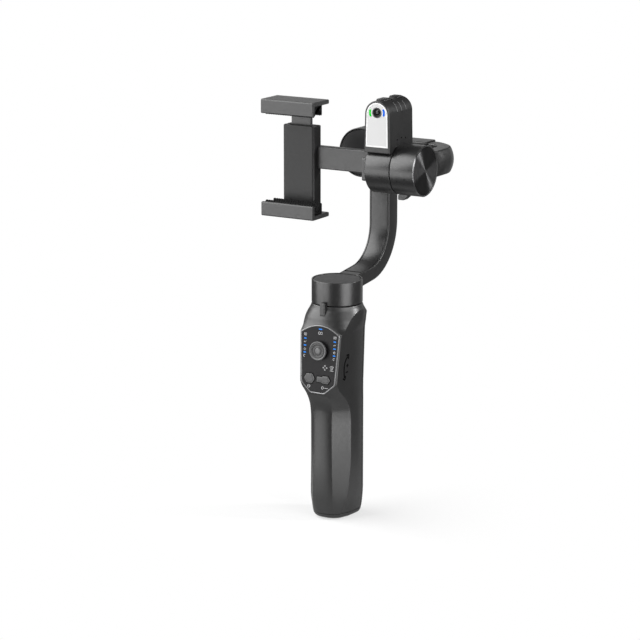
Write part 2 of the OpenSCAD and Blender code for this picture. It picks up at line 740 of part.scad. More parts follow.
// The riser arm, drawn as its side view: Y runs back from the pan axis and Z up
inner_mid_y = arm_reach - arm_bend_r;
arm_start_y = pan_r * 0.9;
inner_line_z = pan_top_z + (inner_mid_y - arm_start_y) * tan(arm_rise);
inner_mid_z = inner_line_z + arm_bend_r / cos(arm_rise);
outer_bend_r = arm_bend_r + (arm_t + arm_foot_t) / 2 + 0.6;
outer_mid_y = arm_reach + arm_t - outer_bend_r;
outer_line_z = inner_line_z - arm_foot_t - (outer_mid_y - inner_mid_y) * tan(arm_rise) * 0.5;
outer_mid_z = outer_line_z + outer_bend_r / cos(arm_rise);
arm_top_z = roll_z - motor_r * 0.8;
bend_steps = 14;
function arc_points(my, mz, r, from, to, n) = [
    for (k = [0 : n]) let (a = from + (to - from) * k / n) [my + r * cos(a), mz + r * sin(a)]
];
module arm_side(deeper = 0) {
    polygon(concat(
        [[arm_start_y * 0.8, pan_top_z - deeper - (arm_start_y * 0.2) * tan(arm_rise)]],
        arc_points(inner_mid_y, inner_mid_z, arm_bend_r + deeper, -90 + arm_rise, 0, bend_steps),
        [[arm_reach + deeper, arm_top_z], [arm_reach + arm_t, arm_top_z]],
        arc_points(outer_mid_y, outer_mid_z, outer_bend_r, 0, -90 + arm_rise, bend_steps),
        [[arm_start_y * 0.8, pan_top_z - arm_foot_t]]
    ));
}
module arm_slab(w, deeper = 0) {
    rotate([90, 0, 90]) translate([0, 0, -w / 2]) linear_extrude(w) arm_side(deeper);
}
inlay_t = 1.2;
inlay_sink = 0.4;
inlay_edge = 1.3;
inlay_start_y = pan_r + 1.6;
module inlay_space(grow) {
    intersection() {
        difference() {
            arm_slab(arm_w - inlay_edge * 2 + grow * 2, -over);
            arm_slab(arm_w * 2, inlay_t + inlay_sink + grow);
        }
        translate([-arm_w, inlay_start_y - grow, pan_top_z - arm_foot_t])
            cube([arm_w * 2, arm_reach * 2, roll_z - motor_r - inlay_edge - pan_top_z + arm_foot_t + grow]);
    }
}
module riser_arm() {
    color("#414244") difference() {
        arm_slab(arm_w);
        translate([0, 0, pan_seam_z]) cylinder(r = pan_r + seat_fit, h = roll_above);
        translate([0, roll_stator_y - over, roll_z]) rotate([-90, 0, 0])
            cylinder(r = motor_r + seat_fit, h = arm_t * 4);
        inlay_space(seat_fit);
    }
}
module riser_inlay() {
    color("#4c4d50") difference() {
        intersection() {
            inlay_space(0);
            arm_slab(arm_w, inlay_sink);
        }
        translate([0, roll_stator_y - over, roll_z]) rotate([-90, 0, 0])
            cylinder(r = motor_r + inlay_edge, h = arm_t * 4);
    }
}
roll_housing_l = arm_reach + arm_t - roll_stator_y;
module stator_cup(len) {
    difference() {
        translate([0, 0, -len]) cylinder(r = motor_r, h = len);
        translate([0, 0, -len - over]) cylinder(r = motor_r - bell_wall, h = len - mount_t + over);
        translate([0, 0, -len - over]) cylinder(r = motor_r - rim_w, h = over + cap_t + cap_recess);
        translate([0, 0, -len]) cylinder(r = bearing_r + seat_fit, h = len * 2);
    }
    bearing_tube();
}
module roll_housing() {
    color("#414244") at_roll() stator_cup(roll_housing_l);
}
module roll_back_cap() {
    color("#4a4b4d") at_roll() translate([0, 0, -roll_housing_l + cap_recess])
        cylinder(r = motor_r - rim_w - seat_fit, h = cap_t - seat_fit);
}
module roll_stator() {
    color("#b5703a") at_roll() motor_stator(motor_r, roll_bell_l);
}
module roll_bearings() {
    color("#c9cbcf") at_roll() motor_bearings();
}
module roll_bell() {
    color("#3a3b3d") at_roll() motor_bell(motor_r, roll_bell_l);
}
module roll_cap() {
    color("#4a4b4d") at_roll() motor_cap(motor_r, roll_bell_l);
}
module roll_shaft() {
    color("#c9cbcf") at_roll() motor_shaft(roll_bell_l);
}
module roll_magnets() {
    color("#5a5c60") at_roll() motor_magnets(motor_r, roll_bell_l);
}

// The roll arm in plan: along X behind the clamp, round a corner, then forward to the tilt motor
band_mid_z = roll_z + band_lift;
sleeve_depth = band_t + sleeve_wall * 2;
sleeve_mid_y = roll_face_y + sleeve_depth / 2 - over;
band_start_x = motor_r + 4;
band_back_y = sleeve_mid_y + band_t / 2;
corner_x = band_reach - band_corner_r;
corner_y = band_back_y - band_corner_r;
band_in_r = band_corner_r - band_t;
sleeve_reach = corner_x - sleeve_to_bend;
module band_plan() {
    polygon(concat(
        [[band_start_x, band_back_y - band_t]],
        [for (k = [bend_steps : -1 : 0]) let (a = 90 * k / bend_steps)
            [corner_x + band_in_r * cos(a), corner_y + band_in_r * sin(a)]],
        [[band_reach - band_t, tilt_y], [band_reach, tilt_y]],
        [for (k = [0 : bend_steps]) let (a = 90 * k / bend_steps)
            [corner_x + band_corner_r * cos(a), corner_y + band_corner_r * sin(a)]],
        [[band_start_x, band_back_y]]
    ));
}
module roll_arm() {
    color("#414244") difference() {
        translate([0, 0, band_mid_z - band_h / 2]) linear_extrude(band_h) band_plan();
        at_tilt() translate([0, 0, -motor_r * 2]) cylinder(r = motor_r + seat_fit, h = motor_r * 4);
    }
}
module arm_sleeve() {
    color("#48494b") difference() {
        translate([0, sleeve_mid_y - sleeve_depth / 2, band_mid_z - band_h / 2 - over])
            cube([sleeve_reach, sleeve_depth, band_h + over * 2]);
        at_roll() translate([0, 0, -over]) cylinder(r = motor_r + seat_fit, h = roll_bell_l * 2);
        translate([band_start_x - seat_fit, band_back_y - band_t - seat_fit, band_mid_z - band_h / 2 - seat_fit])
            cube([sleeve_reach, band_t + seat_fit * 2, band_h + seat_fit * 2]);
    }
}
disc_t = 1.2;
disc_proud = 0.2;
tilt_housing_l = tilt_cup_l - disc_proud;
module tilt_housing() {
    color("#3a3b3d") at_tilt() stator_cup(tilt_housing_l);
}
module tilt_disc() {
    color("#515255") at_tilt() translate([0, 0, -tilt_cup_l])
        cylinder(r = motor_r - rim_w - seat_fit, h = disc_t);
}
tilt_lug_l = 7.6;
tilt_lug_t = 3.4;
tilt_lug_w = 6;
module tilt_lug() {
    color("#414244") difference() {
        translate([tilt_seam_x - tilt_lug_l * 0.16, tilt_y + tilt_lug_w / 2, roll_z - motor_r - tilt_lug_t - free_gap])
            rotate([90, 0, 0]) linear_extrude(tilt_lug_w) polygon([
                [0, 0], [tilt_lug_l * 0.6, 0], [tilt_lug_l, tilt_lug_t * 0.8],
                [tilt_lug_l, tilt_lug_t * 1.6], [0, tilt_lug_t * 1.6]
            ]);
        translate([tilt_seam_x - motor_r * 2 + seam_gap / 2, tilt_y, roll_z]) rotate([0, 90, 0])
            cylinder(r = motor_r + free_gap, h = motor_r * 2);
        translate([tilt_seam_x, tilt_y, roll_z]) rotate([0, 90, 0]) cylinder(r = motor_r + seat_fit, h = motor_r);
    }
}
module tilt_stator() {
    color("#b5703a") at_tilt() motor_stator(motor_r, tilt_bell_l);
}
module tilt_bearings() {
    color("#c9cbcf") at_tilt() motor_bearings();
}
module tilt_bell() {
    color("#3f4042") at_tilt() motor_bell(motor_r, tilt_bell_l);
}
module tilt_shaft() {
    color("#c9cbcf") at_tilt() motor_shaft(tilt_bell_l);
}
module tilt_magnets() {
    color("#5a5c60") at_tilt() motor_magnets(motor_r, tilt_bell_l);
}

// The clamp. The phone's space lies between its two plates, its front face before the tilt axis
phone_front_y = tilt_y - phone_face;
phone_back_y = phone_front_y + phone_t;
phone_low_z = roll_z - phone_w / 2;
phone_high_z = roll_z + phone_w / 2;
pad_t = jaw_lip_h - jaw_bite - jaw_plate_t;
pad_wall = 2.4;
pad_over = 1.4;
pad_end = 1.6;
jaw_front_y = phone_front_y - pad_wall - jaw_lip_t;
jaw_back_y = jaw_front_y + jaw_depth;
jaw_edge_z = phone_low_z - pad_t - jaw_plate_t;
spine_front_y = phone_back_y + pad_wall + free_gap;
spine_back_y = jaw_back_y + 4;
tongue_front_y = spine_front_y + 1.6;
tongue_w = spine_w * 0.62;
spine_top_z = phone_high_z - jaw_close - free_gap * 2;
tongue_low_z = jaw_edge_z + jaw_plate_t + jaw_close + 4;
jaw_round = 1;

// Both jaws are drawn as the lower one, with its plate's underside at zero
module jaw_side() {
    difference() {
        union() {
            translate([jaw_round, 0]) square([jaw_depth - jaw_round, jaw_plate_t]);
            translate([0, jaw_round]) square([jaw_lip_t, jaw_lip_h - jaw_round * 2]);
            translate([jaw_round, jaw_round]) square([jaw_lip_t - jaw_round, jaw_lip_h - jaw_round]);
            translate([jaw_round, jaw_lip_h - jaw_round]) circle(r = jaw_round);
            translate([jaw_round, jaw_round]) circle(r = jaw_round);
        }
    }
}
module jaw_solid() {
    translate([-jaw_x - jaw_w / 2, jaw_front_y, 0]) rotate([90, 0, 90]) linear_extrude(jaw_w) jaw_side();
}
module pad_side() {
    inner = phone_t / 2;
    low = jaw_plate_t + seat_fit;
    front = jaw_lip_t + seat_fit;
    polygon([
        [front, low], [jaw_lip_t + pad_wall * 2 + phone_t, low],
        [jaw_lip_t + pad_wall * 2 + phone_t, jaw_lip_h],
        [jaw_lip_t + pad_wall + phone_t + pad_wall * 0.5, jaw_lip_h + pad_over * 0.6],
        [jaw_lip_t + pad_wall + phone_t + free_gap, jaw_lip_h - jaw_bite + pad_t * 0.4],
        [jaw_lip_t + pad_wall + inner + inner * 0.5, jaw_lip_h - jaw_bite - free_gap],
        [jaw_lip_t + pad_wall + inner, jaw_plate_t + pad_t * 0.35],
        [jaw_lip_t + pad_wall + inner * 0.5, jaw_lip_h - jaw_bite - free_gap],
        [jaw_lip_t + pad_wall - free_gap, jaw_lip_h - jaw_bite + pad_t * 0.4],
        [jaw_lip_t + pad_wall * 0.7, jaw_lip_h + pad_over], [front, jaw_lip_h]
    ]);
}
module pad_solid() {
    l = jaw_w - pad_end * 2;
    translate([-jaw_x - l / 2, jaw_front_y, 0]) rotate([90, 0, 90]) linear_extrude(l) pad_side();
}
module as_lower() {
    translate([0, 0, jaw_edge_z]) children();
}
module as_upper() {
    translate([0, 0, roll_z * 2 - jaw_edge_z]) mirror([0, 0, 1]) children();
}
module lower_jaw() {
    color("#5b5c5e") as_lower() jaw_solid();
}
module lower_pad() {
    color("#161617") as_lower() pad_solid();
}
module upper_pad() {
    color("#161617") as_upper() pad_solid();
}
guide_wall = 0.2;
module upper_jaw() {
    color("#5b5c5e") {
        as_upper() jaw_solid();
        translate([-jaw_x - tongue_w / 2, tongue_front_y, tongue_low_z])
            cube([tongue_w, jaw_back_y - tongue_front_y, phone_high_z + pad_t + jaw_plate_t * 0.5 - tongue_low_z]);
    }
}
spring_r = 1.6;
spring_x = tongue_w / 2 + spring_r + 1.4;
module clamp_spine() {
    color("#3a3b3d") difference() {
        translate([-jaw_x, (spine_front_y + spine_back_y) / 2, jaw_edge_z + jaw_plate_t + seat_fit])
            linear_extrude(spine_top_z - jaw_edge_z - jaw_plate_t - seat_fit)
                round_rect(spine_w, spine_back_y - spine_front_y, 2);
        translate([-jaw_x - tongue_w / 2 - guide_wall, tongue_front_y - guide_wall, tongue_low_z - jaw_close - over])
            cube([tongue_w + guide_wall * 2, jaw_back_y - tongue_front_y + guide_wall * 2, phone_w]);
        for (sx = [-1, 1]) translate([-jaw_x + sx * spring_x, (spine_front_y + spine_back_y) / 2, tongue_low_z - jaw_close])
            cylinder(r = spring_r + free_gap, h = phone_w);
    }
}
spring_turns = 9;
module clamp_springs() {
    color("#b9bbbf") for (sx = [-1, 1])
        translate([-jaw_x + sx * spring_x, (spine_front_y + spine_back_y) / 2, tongue_low_z - jaw_close + seat_fit])
            ring(spring_r, spring_r * 0.6, spine_top_z - tongue_low_z + jaw_close - free_gap);
}
bracket_t = 3;
bracket_h = 16.4;
bar_t = 6;
bracket_front_y = tilt_y - motor_r * 0.9;
module clamp_bracket() {
    color("#5b5c5e") {
        difference() {
            translate([tilt_near_x - bracket_t, bracket_front_y, roll_z - bracket_h / 2])
                cube([bracket_t - seat_fit, spine_back_y - bracket_front_y, bracket_h]);
            translate([tilt_near_x - bracket_t - over, tilt_y, roll_z]) rotate([0, 90, 0]) cylinder(r = shaft_bore_r, h = bracket_t * 2);
        }
        translate([-jaw_x + spine_w / 2 + seat_fit, spine_back_y - bar_t, roll_z - bracket_h / 2])
            cube([tilt_near_x + jaw_x - spine_w / 2 - bracket_t * 0.5, bar_t, bracket_h]);
    }
}

// The tracker on the turning half of the tilt motor, its front view drawn with X across and Z up
tracker_mid_x = (tilt_near_x + tilt_seam_x) / 2 - seam_gap / 2 - free_gap;
crown_r = tracker_crown_w / 2;
crown_z = tracker_top - crown_r;
tracker_wall = 1.6;
face_edge = 1.4;
face_foot = 4;
face_t = 1;
lens_z = crown_z + 1.4;
module tracker_front_view(inset = 0, foot = 0) {
    r = crown_r - inset;
    polygon(concat(
        [[-tracker_w / 2 + inset, tracker_foot + foot], [tracker_w / 2 - inset, tracker_foot + foot]],
        [for (k = [0 : bend_steps]) let (a = 180 * k / bend_steps) [r * cos(a), crown_z + r * sin(a)]]
    ));
}
module along_tracker(from_y, to_y) {
    translate([tracker_mid_x, tilt_y + to_y, roll_z]) rotate([90, 0, 0]) linear_extrude(to_y - from_y) children();
}
groove_w = 0.7;
groove_depth = 0.5;
groove_pitch = 6.2;
groove_first_y = -4.5;
hole_r = 0.6;
top_seat_w = 7.4;
top_seat_depth = 1.1;
button_l = 8;
button_y = 9.5;
switch_l = 10;
switch_y = -6.5;
top_seat_z = tracker_top - top_seat_depth;
module tracker_shell() {
    color("#3a3b3d") difference() {
        along_tracker(-tracker_front_y, tracker_back_y) tracker_front_view();
        along_tracker(-tracker_front_y + face_t * 2.4, tracker_back_y - tracker_wall)
            tracker_front_view(tracker_wall, motor_r - tracker_foot + tracker_wall);
        along_tracker(-tracker_front_y - over, -tracker_front_y + face_t + seat_fit)
            tracker_front_view(face_edge - seat_fit, face_foot - seat_fit);
        translate([0, tilt_y, roll_z]) rotate([0, 90, 0]) cylinder(r = motor_r + seat_fit, h = tilt_far_x);
        for (k = [0 : 2]) translate([tracker_mid_x, tilt_y + groove_first_y + k * groove_pitch, roll_z + crown_z])
            rotate([90, 0, 0]) linear_extrude(groove_w) intersection() {
                difference() {
                    circle(r = crown_r + over);
                    circle(r = crown_r - groove_depth);
                }
                polygon([[0, 0], [crown_r * 2, crown_r * 0.2], [crown_r * 2, crown_r * 2], [crown_r, crown_r * 2]]);
            }
        for (k = [-1 : 1]) translate([tracker_mid_x, tilt_y + k * groove_pitch * 0.95, roll_z + motor_r + 4 - abs(k) * 0.8])
            rotate([0, 90, 0]) cylinder(r = hole_r, h = tracker_w, $fn = 24);
        translate([tracker_mid_x, tilt_y - tracker_front_y + face_t * 2, roll_z + lens_z]) rotate([90, 0, 0])
            cylinder(r = lens_r + seat_fit, h = face_t * 4, center = true);
        for (p = [[button_y, button_l], [switch_y, switch_l + switch_travel]])
            translate([tracker_mid_x - top_seat_w / 2, tilt_y + p[0] - p[1] / 2, roll_z + top_seat_z])
                cube([top_seat_w, p[1], top_seat_depth * 2]);
        for (y = [button_y, switch_y]) translate([tracker_mid_x, tilt_y + y, roll_z + top_seat_z - tracker_wall * 2])
            linear_extrude(tracker_wall * 4) round_rect(stem_w + free_gap * 2, stem_w + free_gap * 2 + (y == switch_y ? switch_travel : 0), 0.6);
    }
}
stem_w = 3;
module tracker_face() {
    color("#f2f2f2") difference() {
        along_tracker(-tracker_front_y, -tracker_front_y + face_t) tracker_front_view(face_edge, face_foot);
        translate([tracker_mid_x, tilt_y - tracker_front_y, roll_z + lens_z]) rotate([90, 0, 0])
            cylinder(r = lens_r + seat_fit, h = face_t * 4, center = true);
        lights_space(seat_fit);
    }
}
light_arc_r = lens_r * 1.5;
light_w = 0.9;
light_half_angle = 27;
module lights_space(grow) {
    along_tracker(-tracker_front_y, -tracker_front_y + face_t) for (side = [0, 180])
        translate([0, lens_z]) rotate([0, 0, side + 4]) intersection() {
            difference() {
                circle(r = light_arc_r + light_w / 2 + grow);
                circle(r = light_arc_r - light_w / 2 - grow);
            }
            polygon([
                [0, 0],
                [light_arc_r * 2, -light_arc_r * 2 * tan(light_half_angle) - grow],
                [light_arc_r * 2, light_arc_r * 2 * tan(light_half_angle) + grow]
            ]);
        }
}
module tracker_lights() {
    color("#35d05a") lights_space(0);
}
module tracker_lens() {
    color("#0c0c0e") translate([tracker_mid_x, tilt_y - tracker_front_y + face_t * 4, roll_z + lens_z])
        rotate([90, 0, 0]) difference() {
            union() {
                cylinder(r = lens_r, h = face_t * 4 + 0.2);
                cylinder(r = lens_r * 0.9, h = face_t * 2);
            }
            translate([0, 0, face_t * 3.4]) cylinder(r1 = lens_r * 0.45, r2 = lens_r * 0.85, h = face_t);
        }
}
module tracker_board() {
    color("#1f5c3a") translate([tracker_mid_x, tilt_y - tracker_front_y + face_t * 4 + seat_fit + board_t, roll_z])
        rotate([90, 0, 0]) linear_extrude(board_t)
            tracker_front_view(tracker_wall + 1, motor_r - tracker_foot + tracker_wall + 1);
}
module top_piece(l, travel_down) {
    translate([0, 0, travel_down + free_gap * 0.5]) linear_extrude(top_seat_depth + 0.8 - travel_down)
        round_rect(top_seat_w - free_gap * 2, l - free_gap * 2, 1);
    translate([0, 0, -tracker_wall * 0.9]) linear_extrude(tracker_wall + travel_down + free_gap)
        round_rect(stem_w, stem_w, 0.5);
}
module tracker_button() {
    color("#4d4e51") translate([tracker_mid_x, tilt_y + button_y, roll_z + top_seat_z]) top_piece(button_l, button_travel);
}
rib_count = 4;
module tracker_switch() {
    color("#4d4e51") translate([tracker_mid_x, tilt_y + switch_y - switch_travel / 2, roll_z + top_seat_z]) {
        difference() {
            top_piece(switch_l, 0);
            for (k = [0 : rib_count - 2])
                translate([-top_seat_w, (k + 1 - rib_count / 2) * switch_l / rib_count - groove_w / 2, top_seat_depth])
                    cube([top_seat_w * 2, groove_w, top_seat_depth]);
        }
    }
}

base_cap();
tripod_insert();
handle_back();
handle_front();
battery_cell();
battery_cradle();
main_board();
usb_socket();
shell_screws();
panel_trim();
control_panel();
light_guides();
key_switches();
stick_module();
stick_yoke();
stick_cap();
power_key();
mode_key();
pan_lug();
pan_mount();
pan_stator();
pan_bearings();
pan_bell();
pan_cap();
pan_shaft();
pan_magnets();
riser_arm();
riser_inlay();
roll_housing();
roll_back_cap();
roll_stator();
roll_bearings();
roll_bell();
roll_cap();
roll_shaft();
roll_magnets();
arm_sleeve();
roll_arm();
tilt_housing();
tilt_disc();
tilt_lug();
tilt_stator();
tilt_bearings();
tilt_bell();
tilt_shaft();
tilt_magnets();
clamp_bracket();
clamp_spine();
lower_jaw();
lower_pad();
upper_jaw();
upper_pad();
clamp_springs();
tracker_shell();
tracker_face();
tracker_lens();
tracker_lights();
tracker_board();
tracker_button();
tracker_switch();
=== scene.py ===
import math
import bmesh
import bpy
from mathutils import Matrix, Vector


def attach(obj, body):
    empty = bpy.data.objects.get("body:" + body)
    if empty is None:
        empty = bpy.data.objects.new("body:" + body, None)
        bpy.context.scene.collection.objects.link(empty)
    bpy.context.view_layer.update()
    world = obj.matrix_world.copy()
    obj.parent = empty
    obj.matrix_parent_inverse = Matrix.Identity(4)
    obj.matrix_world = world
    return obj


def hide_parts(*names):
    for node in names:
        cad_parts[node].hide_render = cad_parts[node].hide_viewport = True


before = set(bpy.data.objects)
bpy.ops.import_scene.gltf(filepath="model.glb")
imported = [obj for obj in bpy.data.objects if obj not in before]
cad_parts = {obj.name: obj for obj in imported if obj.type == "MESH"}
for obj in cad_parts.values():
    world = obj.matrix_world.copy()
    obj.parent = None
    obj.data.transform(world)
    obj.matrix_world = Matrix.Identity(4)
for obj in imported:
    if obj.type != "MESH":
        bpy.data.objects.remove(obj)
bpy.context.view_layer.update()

# Base cap: the moulded foot of the handle, satin dark grey plastic like the two shells above it, pressed in under
# the battery. It leaves a round hole for the threaded insert. The outline of the grip is written here, because
# this is the first piece that follows it.
MM = 0.001
HANDLE_H, GRIP_W, GRIP_FRONT, GRIP_BACK, FRONT_BULGE = 158.8, 17.0, 22.0, 18.0, 1.5
# Shares at each level: height, then half width of the front, depth of the front, corner across and ahead, side
# across and behind, and back. The last one is at the top corners of the panel.
LEVEL_SHARES = (
    (0.000, 0.420, 0.770, 0.620, 0.600, 0.780, 0.300, 0.720),
    (0.007, 0.490, 0.900, 0.710, 0.690, 0.905, 0.350, 0.860),
    (0.023, 0.530, 0.980, 0.760, 0.720, 0.970, 0.389, 0.950),
    (0.055, 0.520, 1.000, 0.840, 0.640, 0.990, 0.422, 0.975),
    (0.124, 0.490, 1.005, 0.930, 0.500, 0.990, 0.422, 0.985),
    (0.298, 0.447, 0.995, 1.000, 0.385, 0.990, 0.422, 0.980),
    (0.456, 0.435, 0.990, 1.000, 0.390, 0.990, 0.422, 0.975),
    (0.512, 0.460, 1.000, 1.000, 0.440, 0.990, 0.422, 0.975),
    (0.550, 0.490, 1.045, 0.988, 0.564, 0.990, 0.422, 0.975),
    (0.581, 0.465, 1.130, 0.959, 0.740, 0.985, 0.422, 0.975),
    (0.603, 0.430, 1.205, 0.930, 0.905, 0.985, 0.422, 0.975),
    (0.629, 0.610, 1.234, 0.915, 1.090, 0.985, 0.422, 0.980),
    (0.654, 0.865, 1.227, 0.900, 1.200, 0.990, 0.422, 0.990),
    (0.879, 0.980, 1.073, 1.005, 1.036, 1.048, 0.422, 1.030))
PANEL_LEVELS = (12, 13)


def smooth(a, b, x):
    """Zero at a, one at b, and an even slope between; a may be the higher one."""
    t = min(max((x - a) / (b - a), 0), 1)
    return t * t * (3 - 2 * t)


def level_at(z):
    """The handle's shares at height z: curves without overshoot, straight along the panel."""
    x = z / HANDLE_H
    last = len(LEVEL_SHARES) - 1
    i = max(k for k in range(last) if LEVEL_SHARES[k][0] <= max(x, 0))
    x0, x1 = LEVEL_SHARES[i][0], LEVEL_SHARES[i + 1][0]
    h = x1 - x0
    t = min(max((x - x0) / h, 0), 1)
    shares = []
    for c in range(1, 8):
        rises = [(LEVEL_SHARES[k + 1][c] - LEVEL_SHARES[k][c]) / (LEVEL_SHARES[k + 1][0] - LEVEL_SHARES[k][0])
                 for k in range(last)]

        def slope(k):
            if k in (0, last) or k in PANEL_LEVELS:
                return rises[i]
            a, b = rises[k - 1], rises[k]
            return 0.0 if a * b <= 0 else 2 * a * b / (a + b)

        shares.append((2 * t ** 3 - 3 * t ** 2 + 1) * LEVEL_SHARES[i][c] + (t ** 3 - 2 * t ** 2 + t) * h * slope(i)
                      + (3 * t ** 2 - 2 * t ** 3) * LEVEL_SHARES[i + 1][c] + (t ** 3 - t ** 2) * h * slope(i + 1))
    return shares


def soft_corner(a, p, c, r):
    """Five points that round the corner at p between a and c."""
    s, e = p + (a - p).normalized() * r, p + (c - p).normalized() * r
    return [s * (1 - u) ** 2 + 2 * u * (1 - u) * p + e * u * u for u in (0, 0.25, 0.5, 0.75, 1)]


# Half an outline has 31 points from front to back, and the two shells meet at point SPLIT on the side. Its corners
# are soft, its scallop sags a little, and towards the base its front turns oval and the whole draws in.
SPLIT, CORNER_SOFT, SCALLOP_SAG = 21, 0.5, 0.015
OVAL_FROM, OVAL_FULL, OVAL_POWER, OVAL_SHARE, DRAW_FROM, DRAWN_IN = 17.0, 3.0, 2.5, 0.9, 20.0, 0.06


def flank(z):
    """Right half of the outline at height z below the shoulder: nearly flat front, scallop, flat side, round back."""
    front_w, front, corner_x, corner_y, side_x, side_y, back = level_at(z)
    bulge = FRONT_BULGE * (1 - smooth(0.5, 0.6, z / HANDLE_H))
    p0, p1 = Vector((0, -front * GRIP_FRONT)), Vector((front_w * GRIP_W, -front * GRIP_FRONT + bulge))
    p2, p3 = Vector((corner_x * GRIP_W, -corner_y * GRIP_FRONT)), Vector((side_x * GRIP_W, side_y * GRIP_BACK))
    face = p2 - p1
    pts = [Vector((p1.x * u, p0.y + bulge * u * u)) for u in (0, 0.2, 0.4, 0.6, 0.75)]
    pts += soft_corner(pts[-1], p1, p2, min(CORNER_SOFT, face.length * 0.3, p1.x * 0.2))
    sag = Vector((-face.y, face.x)).normalized() * face.length * SCALLOP_SAG
    pts += [p1 + face * k / 6 + sag * math.sin(math.pi * k / 6) for k in range(1, 6)]
    pts += soft_corner(p1, p2, p3, min(CORNER_SOFT, face.length * 0.3)) + [(p2 + p3) / 2, p3]
    return pts + [Vector((p3.x * math.cos(math.radians(10 * k)),
                          p3.y + (back * GRIP_BACK - p3.y) * math.sin(math.radians(10 * k)))) for k in range(1, 10)]


def grip_ring(z):
    """Right half of the grip's outline at height z, from the middle of the front to the middle of the back."""
    pts, share = flank(z), OVAL_SHARE * smooth(OVAL_FROM, OVAL_FULL, z)
    middle = Vector((0, pts[SPLIT].y))
    wide, deep = pts[SPLIT].x, middle.y - pts[0].y
    for i in range(SPLIT):
        d = pts[i] - middle
        oval = (abs(d.x / wide) ** OVAL_POWER + abs(d.y / deep) ** OVAL_POWER) ** (-1 / OVAL_POWER)
        pts[i] = middle + d * (1 + (oval - 1) * share)
    return [p * (1 - DRAWN_IN * smooth(DRAW_FROM, 0.0, z)) for p in pts]


def mirrored(p):
    return Vector((-p.x, p.y))


# Moulding or paint grain, slow changes of tone, pale specks and rubbed edges, for every finish of this object.
GRAIN_SCALE, PATCH_SCALE, TONE_SCALE, FLECK_SCALE, GRAIN_HIGH = 2400.0, 520.0, 38.0, 3100.0, 0.00012
grain = bpy.data.node_groups.new("grain_and_wear", "ShaderNodeTree")
for label, value in (("Grain size", GRAIN_SCALE), ("Depth", 0.1), ("Wear", 0.4)):
    grain.interface.new_socket(label, in_out="INPUT", socket_type="NodeSocketFloat").default_value = value
for label in ("Tone", "Gloss", "Speck", "Rubbed"):
    grain.interface.new_socket(label, in_out="OUTPUT", socket_type="NodeSocketFloat")
grain.interface.new_socket("Normal", in_out="OUTPUT", socket_type="NodeSocketVector")
nodes, wire = grain.nodes, grain.links.new
given, result = nodes.new("NodeGroupInput"), nodes.new("NodeGroupOutput")
place, edge = nodes.new("ShaderNodeTexCoord"), nodes.new("ShaderNodeAttribute")
edge.attribute_name = "rounded_edge"
fine, patches, slow, flecks = (nodes.new("ShaderNodeTexNoise") for k in range(4))
for n, scale, detail in ((fine, GRAIN_SCALE, 2.0), (patches, PATCH_SCALE, 2.0), (slow, TONE_SCALE, 3.0),
                         (flecks, FLECK_SCALE, 1.0)):
    n.inputs["Scale"].default_value = scale
    n.inputs["Detail"].default_value = detail
    wire(place.outputs["Object"], n.inputs["Vector"])
wire(given.outputs["Grain size"], fine.inputs["Scale"])
relief, rub, rubbed = (nodes.new("ShaderNodeMath") for k in range(3))
relief.operation, rub.operation, rubbed.operation = "MULTIPLY_ADD", "MULTIPLY", "MULTIPLY"
relief.inputs[1].default_value = 0.5
bump = nodes.new("ShaderNodeBump")
bump.inputs["Distance"].default_value = GRAIN_HIGH
spread, speck, patchy = (nodes.new("ShaderNodeMapRange") for k in range(3))
for n, source, low, high in ((spread, slow, 0.35, 0.65), (speck, flecks, 0.6, 0.72), (patchy, patches, 0.42, 0.6)):
    n.inputs["From Min"].default_value, n.inputs["From Max"].default_value = low, high
    wire(source.outputs["Fac"], n.inputs["Value"])
for a, b in ((patches.outputs["Fac"], relief.inputs[0]), (fine.outputs["Fac"], relief.inputs[2]),
             (given.outputs["Depth"], bump.inputs["Strength"]), (relief.outputs[0], bump.inputs["Height"]),
             (edge.outputs["Fac"], rub.inputs[0]), (patchy.outputs["Result"], rub.inputs[1]),
             (rub.outputs[0], rubbed.inputs[0]), (given.outputs["Wear"], rubbed.inputs[1])):
    wire(a, b)
for source, label in ((spread.outputs["Result"], "Tone"), (patches.outputs["Fac"], "Gloss"),
                      (speck.outputs["Result"], "Speck"), (rubbed.outputs[0], "Rubbed"),
                      (bump.outputs["Normal"], "Normal")):
    wire(source, result.inputs[label])


